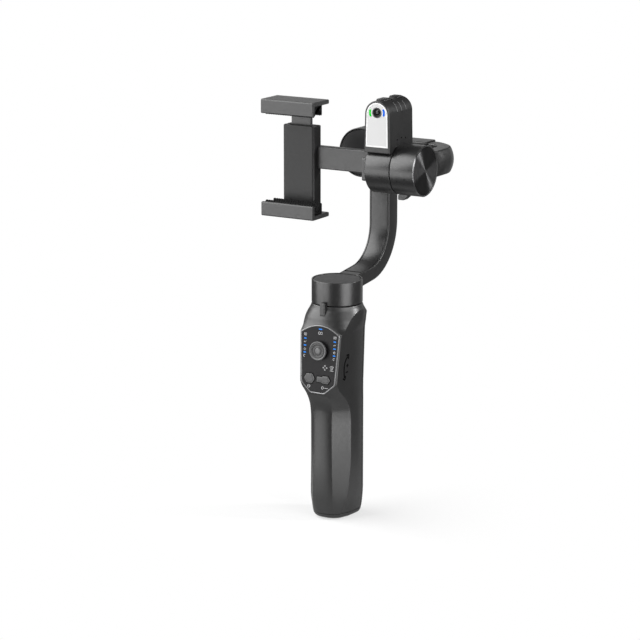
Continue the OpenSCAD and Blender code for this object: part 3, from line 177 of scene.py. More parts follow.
def finish(name, dark, light, rough, metal=0.0, specular=0.5, size=2400.0, depth=0.1, speck=0.06, wear=0.4, coat=0.0):
    """A finish whose tone wanders from dark to light, with pale specks, rubbed edges and uneven gloss."""
    m = bpy.data.materials.new(name)
    m.use_nodes = True
    t, link = m.node_tree.nodes, m.node_tree.links.new
    shader = t["Principled BSDF"]
    g = t.new("ShaderNodeGroup")
    g.node_tree = grain
    for label, value in (("Grain size", size), ("Depth", depth), ("Wear", wear)):
        g.inputs[label].default_value = value
    last = None
    pale = tuple(min(1.0, c * 1.9 + 0.015) for c in light)
    for mask, colour, share in (("Tone", light, 1.0), ("Speck", pale, speck), ("Rubbed", pale, 1.0)):
        mix = t.new("ShaderNodeMix")
        mix.data_type = "RGBA"
        amount = t.new("ShaderNodeMath")
        amount.operation = "MULTIPLY"
        amount.inputs[1].default_value = share
        link(g.outputs[mask], amount.inputs[0])
        link(amount.outputs[0], mix.inputs["Factor"])
        if last is None:
            mix.inputs["A"].default_value = (*dark, 1)
        else:
            link(last.outputs["Result"], mix.inputs["A"])
        mix.inputs["B"].default_value = (*colour, 1)
        last = mix
    link(last.outputs["Result"], shader.inputs["Base Color"])
    gloss = t.new("ShaderNodeMapRange")
    gloss.inputs["From Min"].default_value, gloss.inputs["From Max"].default_value = 0.3, 0.7
    gloss.inputs["To Min"].default_value, gloss.inputs["To Max"].default_value = rough - 0.04, rough + 0.05
    link(g.outputs["Gloss"], gloss.inputs["Value"])
    link(gloss.outputs["Result"], shader.inputs["Roughness"])
    link(g.outputs["Normal"], shader.inputs["Normal"])
    shader.inputs["Metallic"].default_value = metal
    shader.inputs["Specular IOR Level"].default_value = specular
    shader.inputs["Coat Weight"].default_value = coat
    shader.inputs["Coat Roughness"].default_value = 0.1
    return m


def grey(v):
    return (v, v, v * 1.015)


NARROW, LEAST_TURN, MOST_TURN = 0.7, 7, 65


def smooth_faces(ob, sharp, weighted):
    """Smooth shading that breaks at edges over `sharp` degrees, and a mark on the narrow faces of rounded edges."""
    bm = bmesh.new()
    bm.from_mesh(ob.data)
    mark = bm.faces.layers.float.get("rounded_edge") or bm.faces.layers.float.new("rounded_edge")
    for f in bm.faces:
        f.smooth = True
        narrow = min(e.calc_length() for e in f.edges) < NARROW * MM
        turns = [math.degrees(e.calc_face_angle_signed(0)) for e in f.edges if len(e.link_faces) == 2]
        f[mark] = 1.0 if narrow and turns and LEAST_TURN < max(turns) < MOST_TURN else 0.0
    for e in bm.edges:
        e.smooth = len(e.link_faces) == 2 and e.calc_face_angle(0) < math.radians(sharp)
    bm.to_mesh(ob.data)
    bm.free()
    ob.modifiers.clear()
    if weighted:
        even = ob.modifiers.new("even_normals", "WEIGHTED_NORMAL")
        even.keep_sharp = True
        even.weight = 60


def placed(name, data):
    """A new object in the scene."""
    ob = bpy.data.objects.new(name, data)
    bpy.context.scene.collection.objects.link(ob)
    return ob


def mesh_of(name, points, faces):
    """A mesh from points in millimetres."""
    mesh = bpy.data.meshes.new(name)
    mesh.from_pydata([tuple(c * MM for c in p) for p in points], [], faces)
    return mesh


def cleaned(mesh, weld=2e-6):
    """Joins points closer than weld metres and turns every face outward."""
    bm = bmesh.new()
    bm.from_mesh(mesh)
    if weld:
        bmesh.ops.remove_doubles(bm, verts=bm.verts, dist=weld)
    bmesh.ops.recalc_face_normals(bm, faces=bm.faces)
    bm.to_mesh(mesh)
    bm.free()


def settled(ob, body, stands_for):
    """Puts a piece on its body, and in the place of the nodes that it stands for."""
    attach(ob, body)
    if stands_for:
        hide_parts(*stands_for)
    return ob


def piece(name, shape, body, mat, stands_for=(), sharp=35, weighted=True):
    """Makes a piece from (points in millimetres, faces), gives it its finish and puts it on its body."""
    ob = placed(name, mesh_of(name, *shape))
    cleaned(ob.data)
    ob.data.materials.append(mat)
    smooth_faces(ob, sharp, weighted)
    return settled(ob, body, stands_for)


def loft(loops, ends=True, ring=False):
    """A skin over loops of equally many points; ring joins the last loop to the first."""
    n = len(loops[0])
    points = [p for loop in loops for p in loop]
    count = len(loops)
    faces = [(k * n + i, k * n + (i + 1) % n, (k + 1) % count * n + (i + 1) % n, (k + 1) % count * n + i)
             for k in range(count if ring else count - 1) for i in range(n)]
    if ends and not ring:
        faces += [tuple(range(n)), tuple((count - 1) * n + i for i in range(n))]
    return points, faces


def cap_ring(z, inset):
    """The whole outline at height z, drawn in by inset."""
    half = grip_ring(z)
    line = half + [mirrored(p) for p in reversed(half[1:-1])]
    ring = []
    for i, p in enumerate(line):
        d = (line[(i + 1) % len(line)] - line[i - 1]).normalized()
        ring.append(p - Vector((d.y, -d.x)) * inset)
    return ring


def hole_ring(z, r):
    return [(r * p.normalized().x, r * p.normalized().y, z) for p in cap_ring(0, 0)]


HOLE_R, CAP_LOW, CAP_TOP = 5.6, 0.02, 3.95
cap_finish = finish("base_cap_satin", grey(0.007), grey(0.01), 0.37, specular=0.95, depth=0.12, size=2000, speck=0.03)
rows = [(CAP_LOW, 0.6)] + [(z, 0.0) for z in (CAP_LOW, 0.35, 0.8, 1.4, 2.1, 2.9, 3.6)] + [(3.8, 0.06), (CAP_TOP, 0.3)]
loops = [hole_ring(0.3, HOLE_R), hole_ring(CAP_LOW, HOLE_R + 0.3)]
loops += [[(p.x, p.y, z) for p in cap_ring(z, d)] for z, d in rows] + [hole_ring(CAP_TOP, HOLE_R)]
piece("base_cap_skin", loft(loops, ring=True), "handle", cap_finish, ("base_cap",), 40, False)

# Tripod insert: a turned brass bush pressed into the base, with a quarter inch thread of 1.27 mm pitch. The thread
# is one spiral ridge on the wall of the bore, swept along its path.
THREAD_R, THREAD_PITCH, THREAD_TURNS, THREAD_LOW, THREAD_RIDGE = 3.175, 1.27, 6.4, 0.6, 0.42
insert_brass = finish("insert_brass_turned", (0.5, 0.36, 0.14), (0.62, 0.45, 0.19), 0.3, metal=1.0, depth=0.08)


def dress(node, mat):
    """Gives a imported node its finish."""
    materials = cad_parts[node].data.materials
    materials.clear()
    materials.append(mat)


def node_tree(name, sizes):
    """A geometry node tree with a geometry input, named sizes and a geometry output."""
    tree = bpy.data.node_groups.new(name, "GeometryNodeTree")
    tree.interface.new_socket("Geometry", in_out="INPUT", socket_type="NodeSocketGeometry")
    for label, kind, value in sizes:
        tree.interface.new_socket(label, in_out="INPUT", socket_type=kind).default_value = value
    tree.interface.new_socket("Geometry", in_out="OUTPUT", socket_type="NodeSocketGeometry")
    return tree, tree.nodes.new("NodeGroupInput"), tree.nodes.new("NodeGroupOutput")


def set_on_points(tree, given, result, instance, mat):
    """Ends a tree: the instance on every seed point, made real, with its material. Returns the node that sets it."""
    on_point, real, paint = (tree.nodes.new(k) for k in (
        "GeometryNodeInstanceOnPoints", "GeometryNodeRealizeInstances", "GeometryNodeSetMaterial"))
    paint.inputs["Material"].default_value = mat
    for a, b in ((given.outputs["Geometry"], on_point.inputs["Points"]), (instance, on_point.inputs["Instance"]),
                 (on_point.outputs["Instances"], real.inputs["Geometry"]),
                 (real.outputs["Geometry"], paint.inputs["Geometry"]),
                 (paint.outputs["Geometry"], result.inputs["Geometry"])):
        tree.links.new(a, b)
    return on_point


def swept_spiral(name, turns, pitch, radius, ridge, steps, mat):
    """A ridge or wire swept up a spiral on every seed point; steps are those of one turn and of its section."""
    tree, given, result = node_tree(name, (
        ("Turns", "NodeSocketFloat", turns), ("Pitch", "NodeSocketFloat", pitch * MM),
        ("Radius", "NodeSocketFloat", radius * MM), ("Ridge", "NodeSocketFloat", ridge * MM)))
    spiral, section, sweep, rise = (tree.nodes.new(k) for k in (
        "GeometryNodeCurveSpiral", "GeometryNodeCurvePrimitiveCircle", "GeometryNodeCurveToMesh", "ShaderNodeMath"))
    spiral.inputs["Resolution"].default_value, section.inputs["Resolution"].default_value = steps
    rise.operation = "MULTIPLY"
    sweep.inputs["Fill Caps"].default_value = True
    for a, b in ((given.outputs["Turns"], spiral.inputs["Rotations"]), (given.outputs["Turns"], rise.inputs[0]),
                 (given.outputs["Pitch"], rise.inputs[1]), (rise.outputs[0], spiral.inputs["Height"]),
                 (given.outputs["Radius"], spiral.inputs["Start Radius"]),
                 (given.outputs["Radius"], spiral.inputs["End Radius"]),
                 (given.outputs["Ridge"], section.inputs["Radius"]), (spiral.outputs["Curve"], sweep.inputs["Curve"]),
                 (section.outputs["Curve"], sweep.inputs["Profile Curve"])):
        tree.links.new(a, b)
    set_on_points(tree, given, result, sweep.outputs["Mesh"], mat)
    return tree


def grown(name, tree, points, body, stands_for=(), sharp=40):
    """Runs a tree on points in millimetres, keeps the result as a plain mesh and puts it on its body."""
    seed = mesh_of(name, points, [])
    ob = placed(name, seed)
    mod = ob.modifiers.new("grow", "NODES")
    mod.node_group = tree
    done = bpy.data.meshes.new_from_object(ob.evaluated_get(bpy.context.evaluated_depsgraph_get()))
    ob.modifiers.remove(mod)
    ob.data = done
    bpy.data.meshes.remove(seed)
    cleaned(done)
    smooth_faces(ob, sharp, False)
    return settled(ob, body, stands_for)


dress("tripod_insert", insert_brass)
thread = swept_spiral("spiral_ridge", THREAD_TURNS, THREAD_PITCH, THREAD_R - 0.1, THREAD_RIDGE, (48, 6), insert_brass)
grown("socket_thread", thread, [(0, 0, THREAD_LOW)], "handle")

# Handle shells: two injection moulded halves in satin dark grey, 1.6 mm thick, screwed together along a fine line at
# the sides. The front one carries the control panel and has a long scallop on each side for the fingers. Above the
# grip both widen to a round shoulder, which the panel and the two flat sides cut.
WALL, SEAM, LIP_ROUND, SHELL_LOW = 1.6, 0.09, 0.4, 4.05
# Shoulder levels: height, radius of the round shoulder, and the flat side's place ahead and behind.
SHOULDER = ((139.58, 29.0, 17.1, 17.8), (141.0, 27.4, 17.3, 18.0), (143.9, 25.4, 17.7, 18.4),
            (146.0, 24.6, 18.1, 18.75), (149.5, 23.1, 18.7, 19.1), (153.0, 21.1, 19.4, 19.7),
            (155.9, 19.4, 20.0, 20.2), (157.6, 18.7, 20.6, 20.6), (HANDLE_H, 18.4, 21.5, 21.5))
# The flat side reaches from SIDE_AHEAD to SIDE_BEHIND, its crease is point CREASE, and the front dips in most at DIP_Z.
CREASE, LAST, SIDE_AHEAD, SIDE_BEHIND, BACK_DEEP, NECK_TURN, DIP, DIP_Z = 17, 30, 23.0, 7.6, 10.94, 0.28, 1.5, 146
PANEL_Y, PANEL_Z, PANEL_SLOPE = 25.3, 121.72, 0.0948
shell_satin = finish("handle_shell_satin", grey(0.007), grey(0.01), 0.37, specular=0.95, depth=0.12, size=2000,
                     speck=0.03)


def shoulder_ring(z):
    """Right half of the outline at height z of the shoulder, from the middle of the front to the middle of the back."""
    k = max(i for i in range(len(SHOULDER) - 1) if SHOULDER[i][0] <= z)
    t = (z - SHOULDER[k][0]) / (SHOULDER[k + 1][0] - SHOULDER[k][0])
    radius, ahead, behind = (SHOULDER[k][c] + (SHOULDER[k + 1][c] - SHOULDER[k][c]) * t for c in (1, 2, 3))
    dip = DIP * (smooth(156, DIP_Z, z) if z > DIP_Z else smooth(139, DIP_Z, z))
    panel = PANEL_Y - PANEL_SLOPE * (z - PANEL_Z)
    tilt = (behind - ahead) / (SIDE_AHEAD + SIDE_BEHIND)

    def round_at(s):
        return radius - dip * max(0.0, -s) ** 6

    def flat_at(c, s):
        return (ahead + SIDE_AHEAD * tilt) / (c - tilt * s)

    def reach(a):
        """How far the section goes from the axis in the direction a."""
        c, s = math.cos(a), math.sin(a)
        flat = flat_at(c, s) if c - tilt * s > 0.05 else 99.0
        if s < 0:
            return min(round_at(s), flat, panel / -s)
        if flat * s < SIDE_BEHIND:
            return min(round_at(s), flat)
        e, f = (c / behind) ** 2 + (s / BACK_DEEP) ** 2, s * SIDE_BEHIND / BACK_DEEP ** 2
        return min(round_at(s), (f + math.sqrt(f * f - e * ((SIDE_BEHIND / BACK_DEEP) ** 2 - 1))) / e)

    crease, ahead_of_it = math.radians(-60), math.radians(-4)
    for step in range(30):
        mid = (crease + ahead_of_it) / 2
        if round_at(math.sin(mid)) < flat_at(math.cos(mid), math.sin(mid)):
            crease = mid
        else:
            ahead_of_it = mid
    low, end, side = SHOULDER[0][0], math.pi / 2, math.atan2(SIDE_BEHIND, behind)
    side += (NECK_TURN - side) * smooth(150, HANDLE_H, z)
    base, pts = flank(low), []
    first = [math.atan2(p.y, p.x) for p in base]
    for i, a in enumerate(first):
        if i <= CREASE:
            u, v, start, stop = (a + end) / (first[CREASE] + end), i / CREASE, -end, crease
        elif i <= SPLIT:
            u = (a - first[CREASE]) / (first[SPLIT] - first[CREASE])
            v, start, stop = (i - CREASE) / (SPLIT - CREASE), crease, side
        else:
            u, v, start, stop = (a - first[SPLIT]) / (end - first[SPLIT]), (i - SPLIT) / (LAST - SPLIT), side, end
        turn = start + (stop - start) * (u + (v - u) * smooth(low, 147, z))
        pts.append(Vector((math.cos(turn), math.sin(turn))) * reach(turn))
    share = smooth(low, low + 2.5, z)
    return [p * (1 - share) + q * share for p, q in zip(base, pts)]


def half_ring(z):
    return grip_ring(z) if z <= SHOULDER[0][0] else shoulder_ring(z)


def shell_loop(z, front, inset):
    """The closed section of one shell at height z, with its two ends rounded where the shells meet."""
    half = half_ring(z)
    if front:
        line = [mirrored(p) for p in reversed(half[1:SPLIT + 1])] + half[:SPLIT + 1]
    else:
        line = half[SPLIT:] + [mirrored(p) for p in reversed(half[SPLIT:-1])]
    n = len(line)
    ahead = [(line[min(i + 1, n - 1)] - line[max(i - 1, 0)]).normalized() for i in range(n)]
    out = [Vector((d.y, -d.x)) for d in ahead]
    outer = [p - o * inset for p, o in zip(line, out)]
    inner = [p - o * WALL for p, o in zip(line, out)]
    for end, way in ((0, 1), (-1, -1)):
        d, o = ahead[end] * way, out[end]
        base = line[end] + d * SEAM - o * inset
        lip = [base - o * LIP_ROUND, base + d * 0.08 - o * 0.1, base + d * 0.35]
        wall = [base - o * WALL, base + d * 0.08 - o * WALL, base + d * 0.35 - o * WALL]
        if way == 1:
            outer, inner = lip + outer[1:], wall + inner[1:]
        else:
            outer, inner = outer[:-1] + lip[::-1], inner[:-1] + wall[::-1]
    return [(p.x, p.y, z) for p in outer] + [(p.x, p.y, z) for p in reversed(inner)]


def evenly(low, high, count):
    return [low + (high - low) * k / (count - 1) for k in range(count)]


def shell(name, front, node):
    """One shell skin from the base cap to the neck, with its ends closed by strips of faces."""
    edges = ((SHELL_LOW, 0.3), (SHELL_LOW + 0.15, 0.08), (HANDLE_H - 0.3, 0.1), (HANDLE_H - 0.05, 0.4))
    insets, ends = dict(edges), [z for z, inset in edges]
    panel_low, panel_high = (LEVEL_SHARES[k][0] * HANDLE_H for k in PANEL_LEVELS)
    heights = ends[:2] + [4.5] + evenly(5.5, 80, 30) + evenly(81.5, panel_low - 1, 18) + [panel_low]
    heights += evenly(106, 137.5, 12) + [panel_high, 140.0, 140.5] + evenly(141, 158.2, 30)
    loops = [shell_loop(z, front, insets.get(z, 0.0)) for z in heights + ends[2:]]
    n = len(loops[0])
    points, faces = loft(loops, ends=False)
    top = (len(loops) - 1) * n
    for i in range(n // 2 - 1):
        faces.append((i, i + 1, n - 2 - i, n - 1 - i))
        faces.append((top + i, top + i + 1, top + n - 2 - i, top + n - 1 - i))
    return piece(name, (points, faces), "handle", shell_satin, (node,), 38, False)


def joined(shapes):
    """Several (points, faces) shapes as one."""
    points, faces = [], []
    for p, f in shapes:
        faces += [tuple(i + len(points) for i in face) for face in f]
        points += list(p)
    return points, faces


def cut(ob, tools, sharp=38):
    """Takes closed (points, faces) shapes out of a piece and keeps the result as its mesh."""
    tool_mesh = mesh_of("tool", *joined(tools))
    cleaned(tool_mesh, weld=0)
    tool = placed("tool", tool_mesh)
    weighted = len(ob.modifiers) > 0
    ob.modifiers.clear()
    mod = ob.modifiers.new("cut", "BOOLEAN")
    mod.operation, mod.solver, mod.object = "DIFFERENCE", "EXACT", tool
    done = bpy.data.meshes.new_from_object(ob.evaluated_get(bpy.context.evaluated_depsgraph_get()))
    ob.modifiers.remove(mod)
    before = ob.data
    ob.data = done
    bpy.data.meshes.remove(before)
    bpy.data.objects.remove(tool)
    bpy.data.meshes.remove(tool_mesh)
    smooth_faces(ob, sharp, weighted)


def prism(outline, low, high, place):
    """A closed prism over a flat outline; place(a, b, height) puts its points."""
    return loft([[place(a, b, h) for a, b in outline] for h in (low, high)])


def facing(x, z, y):
    return (x, y, z)


def round_outline(x0, y0, r, n=40):
    return [(x0 + r * math.cos(2 * math.pi * k / n), y0 + r * math.sin(2 * math.pi * k / n)) for k in range(n)]


SCREW_X, SCREW_SHARES, POCKET_R = 12.24, (0.12, 0.52, 0.84), 2.25
SCREWS = [(s * SCREW_X, share * HANDLE_H) for share in SCREW_SHARES for s in (-1, 1)]
back_shell = shell("handle_back_skin", False, "handle_back")
cut(back_shell, [prism(round_outline(x, z, POCKET_R), 8.0, 24.0, facing) for x, z in SCREWS])
front_shell = shell("handle_front_skin", True, "handle_front")

# Charging port: a steel socket soldered to the main board, behind a rounded slot in the left side of the handle,
# level with the panel's middle. Its black moulded tongue carries the contacts.
PORT_Y, PORT_Z, PORT_LONG, PORT_WIDE, TONGUE_SHORTER, TONGUE_WIDE = -2.2, 0.72 * HANDLE_H, 9.1, 3.4, 2.6, 0.75


def rounded(points, radius, steps=4):
    """A closed outline whose corners are turned into small arcs; radius is one number, or one for each corner."""
    out = []
    for i, p in enumerate(points):
        r = radius[i] if isinstance(radius, (list, tuple)) else radius
        if r <= 0:
            out.append(tuple(p))
            continue
        p = Vector(p)
        a, b = Vector(points[i - 1]) - p, Vector(points[(i + 1) % len(points)]) - p
        s = p + a.normalized() * min(r, a.length * 0.45)
        e = p + b.normalized() * min(r, b.length * 0.45)
        shares = [k / steps for k in range(steps + 1)]
        out += [tuple(s * (1 - u) ** 2 + 2 * u * (1 - u) * p + e * u * u) for u in shares]
    return out


def box_outline(x, y, w, h):
    return [(x - w / 2, y - h / 2), (x + w / 2, y - h / 2), (x + w / 2, y + h / 2), (x - w / 2, y + h / 2)]


def at_port(a, b, x):
    return (x, PORT_Y + b, PORT_Z + a)


slot = rounded(box_outline(0, 0, PORT_LONG, PORT_WIDE), PORT_WIDE * 0.45, 6)
cut(front_shell, [prism(slot, -24.0, -13.0, at_port)])
port_steel = finish("port_steel", grey(0.42), grey(0.5), 0.28, metal=1.0, depth=0.04)
dress("usb_socket", port_steel)
tongue = rounded(box_outline(0, 0, PORT_LONG - TONGUE_SHORTER, TONGUE_WIDE), 0.3, 3)
port_black = finish("port_tongue_black", grey(0.01), grey(0.014), 0.45, depth=0.1)
piece("port_tongue", prism(tongue, -15.9, -12.5, at_port), "handle", port_black)

# Shell screws: six small black steel pan heads with cross slots, which hold the two shells together. They are sunk
# into pockets in the back shell.
SCREW_R, SCREW_HEAD, SCREW_SLOT, SCREW_Y = 2.15, 3.4, 0.55, 11.0
screw_steel = finish("screw_steel_black", grey(0.1), grey(0.14), 0.32, metal=1.0, depth=0.06)
tree, given, result = node_tree("sunk_screws", (
    ("Radius", "NodeSocketFloat", SCREW_R * MM), ("Head", "NodeSocketFloat", SCREW_HEAD * MM),
    ("Slot", "NodeSocketFloat", SCREW_SLOT * MM)))
head, bar, cross, bar_size, turned, moved, both = (tree.nodes.new(k) for k in (
    "GeometryNodeMeshCylinder", "GeometryNodeMeshCube", "GeometryNodeMeshBoolean", "ShaderNodeCombineXYZ",
    "GeometryNodeTransform", "GeometryNodeTransform", "GeometryNodeJoinGeometry"))
head.inputs["Vertices"].default_value = 40
turned.inputs["Rotation"].default_value = (0, 0, math.pi / 2)
moved.inputs["Translation"].default_value = (0, 0, SCREW_HEAD / 2 * MM)
for a, b in ((given.outputs["Radius"], head.inputs["Radius"]), (given.outputs["Head"], head.inputs["Depth"]),
             (given.outputs["Head"], bar_size.inputs["X"]), (given.outputs["Slot"], bar_size.inputs["Y"]),
             (given.outputs["Radius"], bar_size.inputs["Z"]), (bar_size.outputs[0], bar.inputs["Size"]),
             (bar.outputs["Mesh"], turned.inputs["Geometry"]), (turned.outputs["Geometry"], both.inputs["Geometry"]),
             (bar.outputs["Mesh"], both.inputs["Geometry"]), (both.outputs["Geometry"], moved.inputs["Geometry"]),
             (head.outputs["Mesh"], cross.inputs["Mesh 1"]), (moved.outputs["Geometry"], cross.inputs["Mesh 2"])):
    tree.links.new(a, b)
on_point = set_on_points(tree, given, result, cross.outputs["Mesh"], screw_steel)
on_point.inputs["Rotation"].default_value = (-math.pi / 2, 0, 0)
grown("screw_heads", tree, [(x, SCREW_Y, z) for x, z in SCREWS], "handle", ("shell_screws",))

# Side mark: a double arrow with a plus and a minus, printed in matt black ink on the handle's right side. It says
# which way is more and which is less.
side_black = finish("side_mark_black", grey(0.001), grey(0.002), 0.8, specular=0.05, depth=0.03, speck=0.0, wear=0.0)


def side_x(y, z):
    """Half width of the handle at depth y and height z."""
    line = half_ring(z)[15:SPLIT + 2]
    for a, b in zip(line, line[1:]):
        if a.y <= y <= b.y and b.y > a.y:
            return a.x + (b.x - a.x) * (y - a.y) / (b.y - a.y)
    return line[-1].x


def ribbon(points, width, place, closed=False):
    """A flat strip along points, 0.2 mm thick; place(a, b, height) puts it on its surface."""
    pts = [Vector(p) for p in points]
    n = len(pts)
    loops = []
    for i, p in enumerate(pts):
        a = pts[(i - 1) % n] if closed or i > 0 else p
        b = pts[(i + 1) % n] if closed or i < n - 1 else p
        d = (b - a).normalized()
        s = Vector((-d.y, d.x)) * width / 2
        loops.append([place(*(p + s), -0.1), place(*(p + s), 0.1), place(*(p - s), 0.1), place(*(p - s), -0.1)])
    return loft(loops, ring=closed)


bow = [(-13.0, 122.9), (-15.2, 121.2), (-16.7, 118.9), (-17.3, 116.0), (-17.4, 113.0), (-17.1, 110.0), (-16.4, 107.6)]
strokes = [(bow, 1.25)]
for tip, way in (((-11.6, 124.0), (1.0, 0.8)), ((-15.9, 105.9), (0.4, -1.0))):
    d = Vector(way).normalized()
    s = Vector((-d.y, d.x))
    for hand in (-1, 1):
        strokes.append(([tuple(Vector(tip)), tuple(Vector(tip) - d * 2.4 + s * hand * 2.0)], 1.15))
strokes += [([(-14.5, 116.2), (-11.9, 116.2)], 0.85), ([(-13.2, 114.9), (-13.2, 117.5)], 0.85),
            ([(-15.2, 111.4), (-12.4, 111.4)], 0.85)]
piece("side_mark", joined([ribbon(p, w, lambda y, z, h: (side_x(y, z) + h * 0.9, y, z)) for p, w in strokes]),
      "handle", side_black, (), 30, False)

# Inside the handle: the battery cell wrapped in blue film in its plastic cradle, the green laminate main board, the
# tact switches soldered to it under the keys, and the stick's moulded module with its steel ring.
cell_wrap = finish("cell_wrap_blue", (0.02, 0.1, 0.32), (0.03, 0.13, 0.4), 0.25, depth=0.05, coat=0.4)
cradle_black = finish("cradle_black", grey(0.014), grey(0.02), 0.5, depth=0.15)
board_green = finish("board_green", (0.012, 0.09, 0.035), (0.02, 0.12, 0.05), 0.35, depth=0.12, coat=0.3)
switch_grey = finish("switch_grey", grey(0.14), grey(0.18), 0.4, depth=0.08)
for node, mat in (("battery_cell", cell_wrap), ("battery_cradle", cradle_black), ("main_board", board_green),
                  ("key_switches", switch_grey), ("stick_module", cradle_black), ("stick_yoke", port_steel),
                  ("light_guides", switch_grey)):
    dress(node, mat)

# Control panel: a dark smooth plate with a bright bevelled metal trim, both glued into the handle's raised head and
# leaning a little back. u runs across, v up the panel and w out of it. The chin is cut at both sides, and the crown
# is a flat arch.
LEAN, PANEL = math.radians(5.4167), Vector((0, -PANEL_Y, 121.7202))
UP, OUT = Vector((0, math.sin(LEAN), math.cos(LEAN))), Vector((0, -math.cos(LEAN), math.sin(LEAN)))
TOP_HALF, LOW_HALF, CHIN_HALF, TOP_V, CHIN_V, CROWN, TRIM_PROUD = 16.4, 14.3, 5.8, 18.15, -25.45, 6.2, 0.6
trim_bright = finish("panel_trim_bright", grey(0.22), grey(0.26), 0.38, metal=0.8, depth=0.03, size=3200, speck=0.03,
                     wear=0.1)
panel_black = finish("panel_plate_satin", (0.0085, 0.008, 0.009), (0.0115, 0.011, 0.012), 0.4, specular=0.25,
                     depth=0.05, size=3600, speck=0.03)


def on_panel(u, v, w):
    p = PANEL + UP * v + OUT * w
    return (u, p.y, p.z)


def drawn_in(points, d):
    """A flat outline, against the clock, drawn in by d."""
    out = []
    for i, p in enumerate(points):
        a = (Vector(p) - Vector(points[i - 1])).normalized()
        b = (Vector(points[(i + 1) % len(points)]) - Vector(p)).normalized()
        na, nb = Vector((-a.y, a.x)), Vector((-b.y, b.x))
        out.append(tuple(Vector(p) + d * (na + nb) / (1 + na.dot(nb))))
    return out


def stepped(outline, rows, place, ring=False):
    """A skin over insets of a flat outline; rows are (inset, height) and place(a, b, height) puts the points."""
    return loft([[place(a, b, h) for a, b in drawn_in(outline, d)] for d, h in rows], ring=ring)


arch = [(TOP_HALF * s, TOP_V + CROWN * (1 - s * s)) for s in (1 - 2 * k / 24 for k in range(25))]
edge_line = [(-CHIN_HALF, CHIN_V), (CHIN_HALF, CHIN_V), (LOW_HALF, -TOP_V)] + arch + [(-LOW_HALF, -TOP_V)]
edge_line = rounded(edge_line, [1.2, 1.2, 1.4, 1.0] + [0] * 23 + [1.0, 1.4], 3)
trim_rows = ((0.0, -2.3), (0.0, 0.15), (0.1, 0.45), (0.36, TRIM_PROUD), (0.62, TRIM_PROUD), (0.88, 0.4), (0.98, 0.15),
             (0.98, -2.3))
piece("panel_trim_skin", stepped(edge_line, trim_rows, on_panel, True), "handle", trim_bright,
      ("panel_trim",), 50, False)
plate = piece("control_panel_skin", stepped(edge_line, ((1.03, -1.6), (1.03, 0.0), (1.12, 0.1), (1.3, 0.12)), on_panel),
              "handle", panel_black, ("control_panel",), 30)

# Keys: a hexagon for power and, beside it, a hexagon with a bar for the mode. Each is a dark moulded button with a
# raised lighter face, ringed by a pale line that is painted highlight for the light its bevelled edge catches. It sits
# on a tact switch and sinks half a millimetre into its hole.
KEYS_V, POWER_U, MODE_U, KEY_W, KEY_H, KEY_GAP = -14.88, -7.15, 6.15, 9.6, 7.4, 0.28
MODE_W, MODE_H, BAR_L, BAR_H = 8.83, 6.07, 7.3, 4.44
key_dark = finish("key_side_dark", grey(0.004), grey(0.006), 0.5, specular=0.2, depth=0.05, size=3000)
# Pale grey of the rim line: painted highlight along the keys' bevelled edges, also used on the thumb stick's rim.
rim_highlight_paint = finish("rim_painted_highlight", grey(0.13), grey(0.15), 0.42, depth=0.02, size=3000, speck=0, wear=0)
key_face = finish("key_face_satin", grey(0.07), grey(0.085), 0.4, depth=0.03, size=3000, speck=0, wear=0)
meet = -MODE_W / 2 + BAR_H / MODE_H * MODE_W / 4
hexagon = [(-0.5, 0), (-0.25, -0.5), (0.25, -0.5), (0.5, 0), (0.25, 0.5), (-0.25, 0.5)]
power_line = [(POWER_U + x * KEY_W, KEYS_V + y * KEY_H) for x, y in hexagon]
mode_line = [(MODE_U + x, KEYS_V + y) for x, y in (
    (-BAR_L, -BAR_H / 2), (meet, -BAR_H / 2), (-MODE_W / 4, -MODE_H / 2), (MODE_W / 4, -MODE_H / 2), (MODE_W / 2, 0),
    (MODE_W / 4, MODE_H / 2), (-MODE_W / 4, MODE_H / 2), (meet, BAR_H / 2), (-BAR_L, BAR_H / 2))]


def key_skin(line, rows, r, ring=False):
    """A skin over insets of a key's outline, each with its corners rounded by r; rows are (inset, height)."""
    return loft([[on_panel(u, v, w) for u, v in rounded(drawn_in(line, d), r, 3)] for d, w in rows], ring=ring)


side_rows = ((0.0, -1.5), (0.0, 0.36), (0.1, 0.5), (0.22, 0.55), (0.5, 0.5), (0.6, 0.2), (1.6, 0.2))
rim_rows = ((0.3, 0.45), (0.32, 0.6), (0.45, 0.66), (0.78, 0.68), (0.84, 0.5))
face_rows = ((0.8, 0.1), (0.86, 0.66), (1.05, 0.82), (1.4, 0.9), (1.7, 0.92))
for key, line, body in (("power_key", power_line, "power_button"), ("mode_key", mode_line, "mode_button")):
    piece(f"{key}_skin", key_skin(line, side_rows, 0.5), body, key_dark, (key,), 40)
    piece(f"{key}_rim", key_skin(line, rim_rows, 0.45, True), body, rim_highlight_paint, (), 60, False)
    piece(f"{key}_face", key_skin(line, face_rows, 0.4), body, key_face, (), 25)
STICK_V, STICK_HOLE_R = 5.99, 5.0
openings = [prism(line, -5, 1, on_panel) for line in (
    round_outline(0, STICK_V, STICK_HOLE_R, 64), drawn_in(power_line, -KEY_GAP), drawn_in(mode_line, -KEY_GAP))]
cut(plate, openings)
cut(front_shell, openings)

# Thumb stick: a round cap of satin grey plastic pushed on a thin stem. It is dished between a raised rim, whose pale
# ring is painted highlight, and one more ring round its paler middle, where the thumb rests.
stick_grey = finish("thumb_stick_satin", grey(0.05), grey(0.06), 0.36, depth=0.04, size=3000, speck=0.02, wear=0.1)
stick_pale = finish("thumb_stick_middle", grey(0.15), grey(0.17), 0.42, depth=0.03, size=3000, speck=0, wear=0)


def lathe(profile, place, n=128):
    """Turns a closed (radius, along) profile about its axis; place(radius, angle, along) puts its points."""
    m = len(profile)
    points = [place(r, 2 * math.pi * k / n, a) for k in range(n) for r, a in profile]
    faces = [(k * m + i, k * m + (i + 1) % m, (k + 1) % n * m + (i + 1) % m, (k + 1) % n * m + i)
             for k in range(n) for i in range(m) if profile[i][0] > 1e-6 or profile[(i + 1) % m][0] > 1e-6]
    return points, faces


